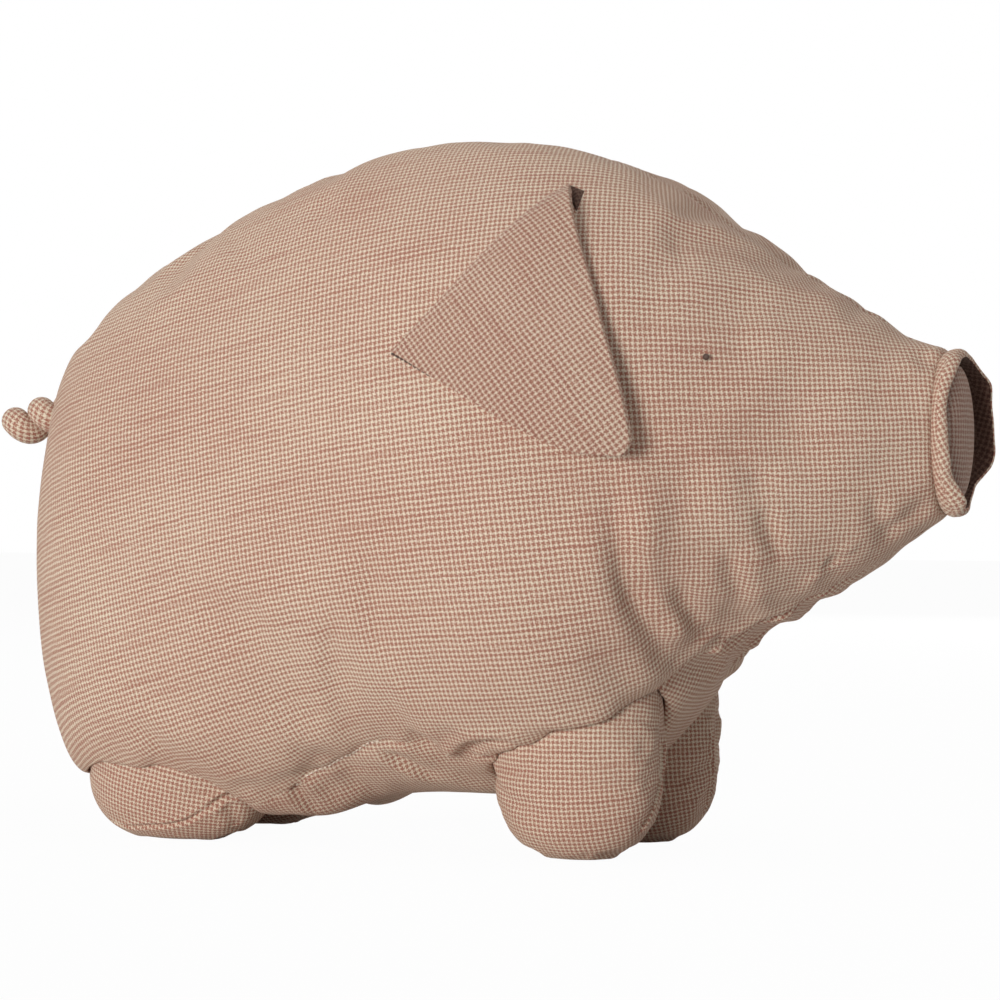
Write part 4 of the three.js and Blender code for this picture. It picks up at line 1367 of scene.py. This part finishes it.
def cotton_thread(name, colour, roughness):
    """Twisted cotton thread: its strands catch a dull sheen and show no single highlight."""
    material = bpy.data.materials.new(name)
    material.use_nodes = True
    surface = material.node_tree.nodes["Principled BSDF"].inputs
    surface["Base Color"].default_value = linear(colour)
    surface["Roughness"].default_value = roughness
    return material


brown_thread = cotton_thread("brown_embroidery_cotton", "#4A352B", 0.6)
eye_knots = []
for side_name in SIDES:
    low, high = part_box(f"eye_{side_name}")
    bpy.ops.mesh.primitive_uv_sphere_add(segments=KNOT_SEGMENTS, ring_count=KNOT_RINGS)
    knot = bpy.context.object
    knot.name = f"eye_{side_name}_knot"
    knot.data.transform(knot.matrix_world)
    for vertex in knot.data.vertices:
        vertex.co = Vector((low[k] + high[k]) / 2 + vertex.co[k] * (high[k] - low[k]) / 2
                           for k in range(3))
    knot.data.materials.append(brown_thread)
    knot.data.shade_smooth()
    eye_knots.append(knot)
print("eyes:", len(eye_knots))

# %% [markdown]
# ## Stitches
# The last seam is closed by hand with pale thread, and the ear's lower corner is caught down
# with dark thread. A node tree sets one plump stitch after another along a line on the cloth,
# each a little different, as a hand sets them.

# %% Stitches
CLOSED_BY_HAND = (0.34, 0.455)
STITCHES = {"Spacing": 2.5 * MM, "Length": 1.9 * MM, "Width": 0.75 * MM, "Unevenness": 0.25,
            "Seed": 5}
CATCHES = {"Spacing": 2.4 * MM, "Length": 2.2 * MM, "Width": 1 * MM}
STITCH_SEGMENTS, STITCH_RINGS = 8, 6
STITCH_LIFT = 0.2 * MM
# The catch stitches' line on the ear: where it starts and how far it runs, towards the tip and
# across, then how high it lies in the ear's thickness
CATCH_LINE, CATCH_STEPS, CATCH_LIFT = ((0.01, 0.15), (-0.004, 0.014)), 24, 0.55


def stitch_tree():
    """A node tree that turns a line of edges into a row of stitches."""
    tree = bpy.data.node_groups.new("hand_stitches", "GeometryNodeTree")
    tree.is_modifier = True
    sockets = {}
    for label, kind in (("Seam", "NodeSocketGeometry"), ("Spacing", "NodeSocketFloat"),
                        ("Length", "NodeSocketFloat"), ("Width", "NodeSocketFloat"),
                        ("Unevenness", "NodeSocketFloat"), ("Seed", "NodeSocketInt"),
                        ("Thread", "NodeSocketMaterial")):
        sockets[label] = tree.interface.new_socket(label, in_out="INPUT", socket_type=kind)
    tree.interface.new_socket("Stitches", in_out="OUTPUT", socket_type="NodeSocketGeometry")
    given = add_node(tree, "NodeGroupInput").outputs

    # Points along the seam, each with the seam's direction
    seam = add_node(tree, "GeometryNodeMeshToCurve", None, {"Mesh": given["Seam"]})
    steps = add_node(tree, "GeometryNodeCurveToPoints", {"mode": "LENGTH"},
                     {"Curve": seam.outputs[0], "Length": given["Spacing"]})
    turned = add_node(tree, "FunctionNodeAlignRotationToVector", {"axis": "X"},
                      {"Vector": steps.outputs["Tangent"]})

    # One stitch: a plump ellipsoid of thread, long along the seam, each of its own size
    least = add_node(tree, "ShaderNodeMath", {"operation": "SUBTRACT"},
                     {0: 1, 1: given["Unevenness"]})
    most = add_node(tree, "ShaderNodeMath", {"operation": "ADD"}, {0: 1, 1: given["Unevenness"]})
    share = add_node(tree, "FunctionNodeRandomValue", {"data_type": "FLOAT"},
                     {2: least.outputs[0], 3: most.outputs[0], "Seed": given["Seed"]})
    length = add_node(tree, "ShaderNodeMath", {"operation": "MULTIPLY"},
                      {0: given["Length"], 1: share.outputs[1]})
    size = add_node(tree, "ShaderNodeCombineXYZ", None,
                    {0: length.outputs[0], 1: given["Width"], 2: given["Width"]})
    thread = add_node(tree, "GeometryNodeMeshUVSphere", None,
                      {"Segments": STITCH_SEGMENTS, "Rings": STITCH_RINGS, "Radius": 0.5})
    sewn = add_node(tree, "GeometryNodeInstanceOnPoints", None,
                      {"Points": steps.outputs["Points"], "Instance": thread.outputs["Mesh"],
                       "Rotation": turned.outputs[0], "Scale": size.outputs[0]})
    real = add_node(tree, "GeometryNodeRealizeInstances", None, {0: sewn.outputs[0]})
    round_shaded = add_node(tree, "GeometryNodeSetShadeSmooth", None, {0: real.outputs[0]})
    dressed = add_node(tree, "GeometryNodeSetMaterial", None,
                       {0: round_shaded.outputs[0], "Material": given["Thread"]})
    add_node(tree, "NodeGroupOutput", None, {0: dressed.outputs[0]})
    return tree, sockets


def stitch(name, line, thread, sizes):
    """A row of stitches along a line of points, as one mesh."""
    mesh = bpy.data.meshes.new(name)
    mesh.from_pydata([tuple(p) for p in line], [(k, k + 1) for k in range(len(line) - 1)], [])
    seam = placed(name, mesh)
    modifier = seam.modifiers.new("stitches", "NODES")
    modifier.node_group = hand_stitches
    for label, value in {**STITCHES, **sizes, "Thread": thread}.items():
        modifier[stitch_sockets[label].identifier] = value
    seam.update_tag()
    sewn = bpy.data.meshes.new_from_object(
        seam.evaluated_get(bpy.context.evaluated_depsgraph_get()))
    sewn.name = name
    seam.modifiers.remove(modifier)
    seam.data = sewn
    return seam


def lifted_line(line, surface, lift):
    """A line drawn onto a surface, a little above it."""
    near = [surface.find_nearest(Vector(point)) for point in line]
    return np.array([tuple(place + normal * lift) for place, normal, _, _ in near])


hand_stitches, stitch_sockets = stitch_tree()
pale_thread = cotton_thread("pale_sewing_cotton", "#E4D6C6", 0.7)
body_now = BVHTree.FromObject(stuffed_body, bpy.context.evaluated_depsgraph_get())
stitch_rows = []
for side_name, line in (("right", gusset_line), ("left", other_line)):
    shares = (line[:, 0] - RUMP_X) / BODY_LENGTH
    closed = line[(shares > CLOSED_BY_HAND[0]) & (shares < CLOSED_BY_HAND[1])]
    stitch_rows.append(stitch(f"closing_stitches_{side_name}",
                              lifted_line(closed, body_now, STITCH_LIFT), pale_thread, {}))
catches = {}
for side_name, side in SIDES.items():
    run = np.linspace(0, 1, CATCH_STEPS)
    reach, aside = (start + length * run for start, length in CATCH_LINE)
    corner = ear_place(reach, aside, side, EAR_THICKNESS * CATCH_LIFT)
    catches[side_name] = stitch(f"ear_{side_name}_catch_stitches", corner, brown_thread, CATCHES)
faces = sum(len(row.data.polygons) for row in stitch_rows)
print("stitches:", faces // (STITCH_SEGMENTS * STITCH_RINGS))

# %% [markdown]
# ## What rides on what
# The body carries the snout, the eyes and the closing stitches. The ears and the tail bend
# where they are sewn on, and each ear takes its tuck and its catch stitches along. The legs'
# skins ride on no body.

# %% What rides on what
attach(stuffed_body, "body")
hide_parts("side_panel_right", "side_panel_left", "belly_gusset",
            "body_filling", "head_filling")
for name, piece in leg_skins.items():
    leg = legs[name]
    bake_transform(piece)
    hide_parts(f"{name}_outer_cover", f"{name}_inner_cover", f"{name}_filling")
for side_name, piece in ear_skins.items():
    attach(piece, f"ear_{side_name}")
    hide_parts(f"ear_{side_name}_leaf", f"ear_{side_name}_lining")
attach(snout_lip, "body")
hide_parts("snout_rim")
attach(snout_disc, "body")
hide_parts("snout_disc")
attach(curled_tail, "tail")
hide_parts("tail")
for side_name, piece in tucks.items():
    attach(piece, f"ear_{side_name}")
for row in stitch_rows:
    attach(row, "body")
for side_name, row in catches.items():
    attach(row, f"ear_{side_name}")
for side_name, knot in zip(SIDES, eye_knots):
    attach(knot, "body")
    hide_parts(f"eye_{side_name}")

bpy.context.scene.view_settings.view_transform = "Standard"
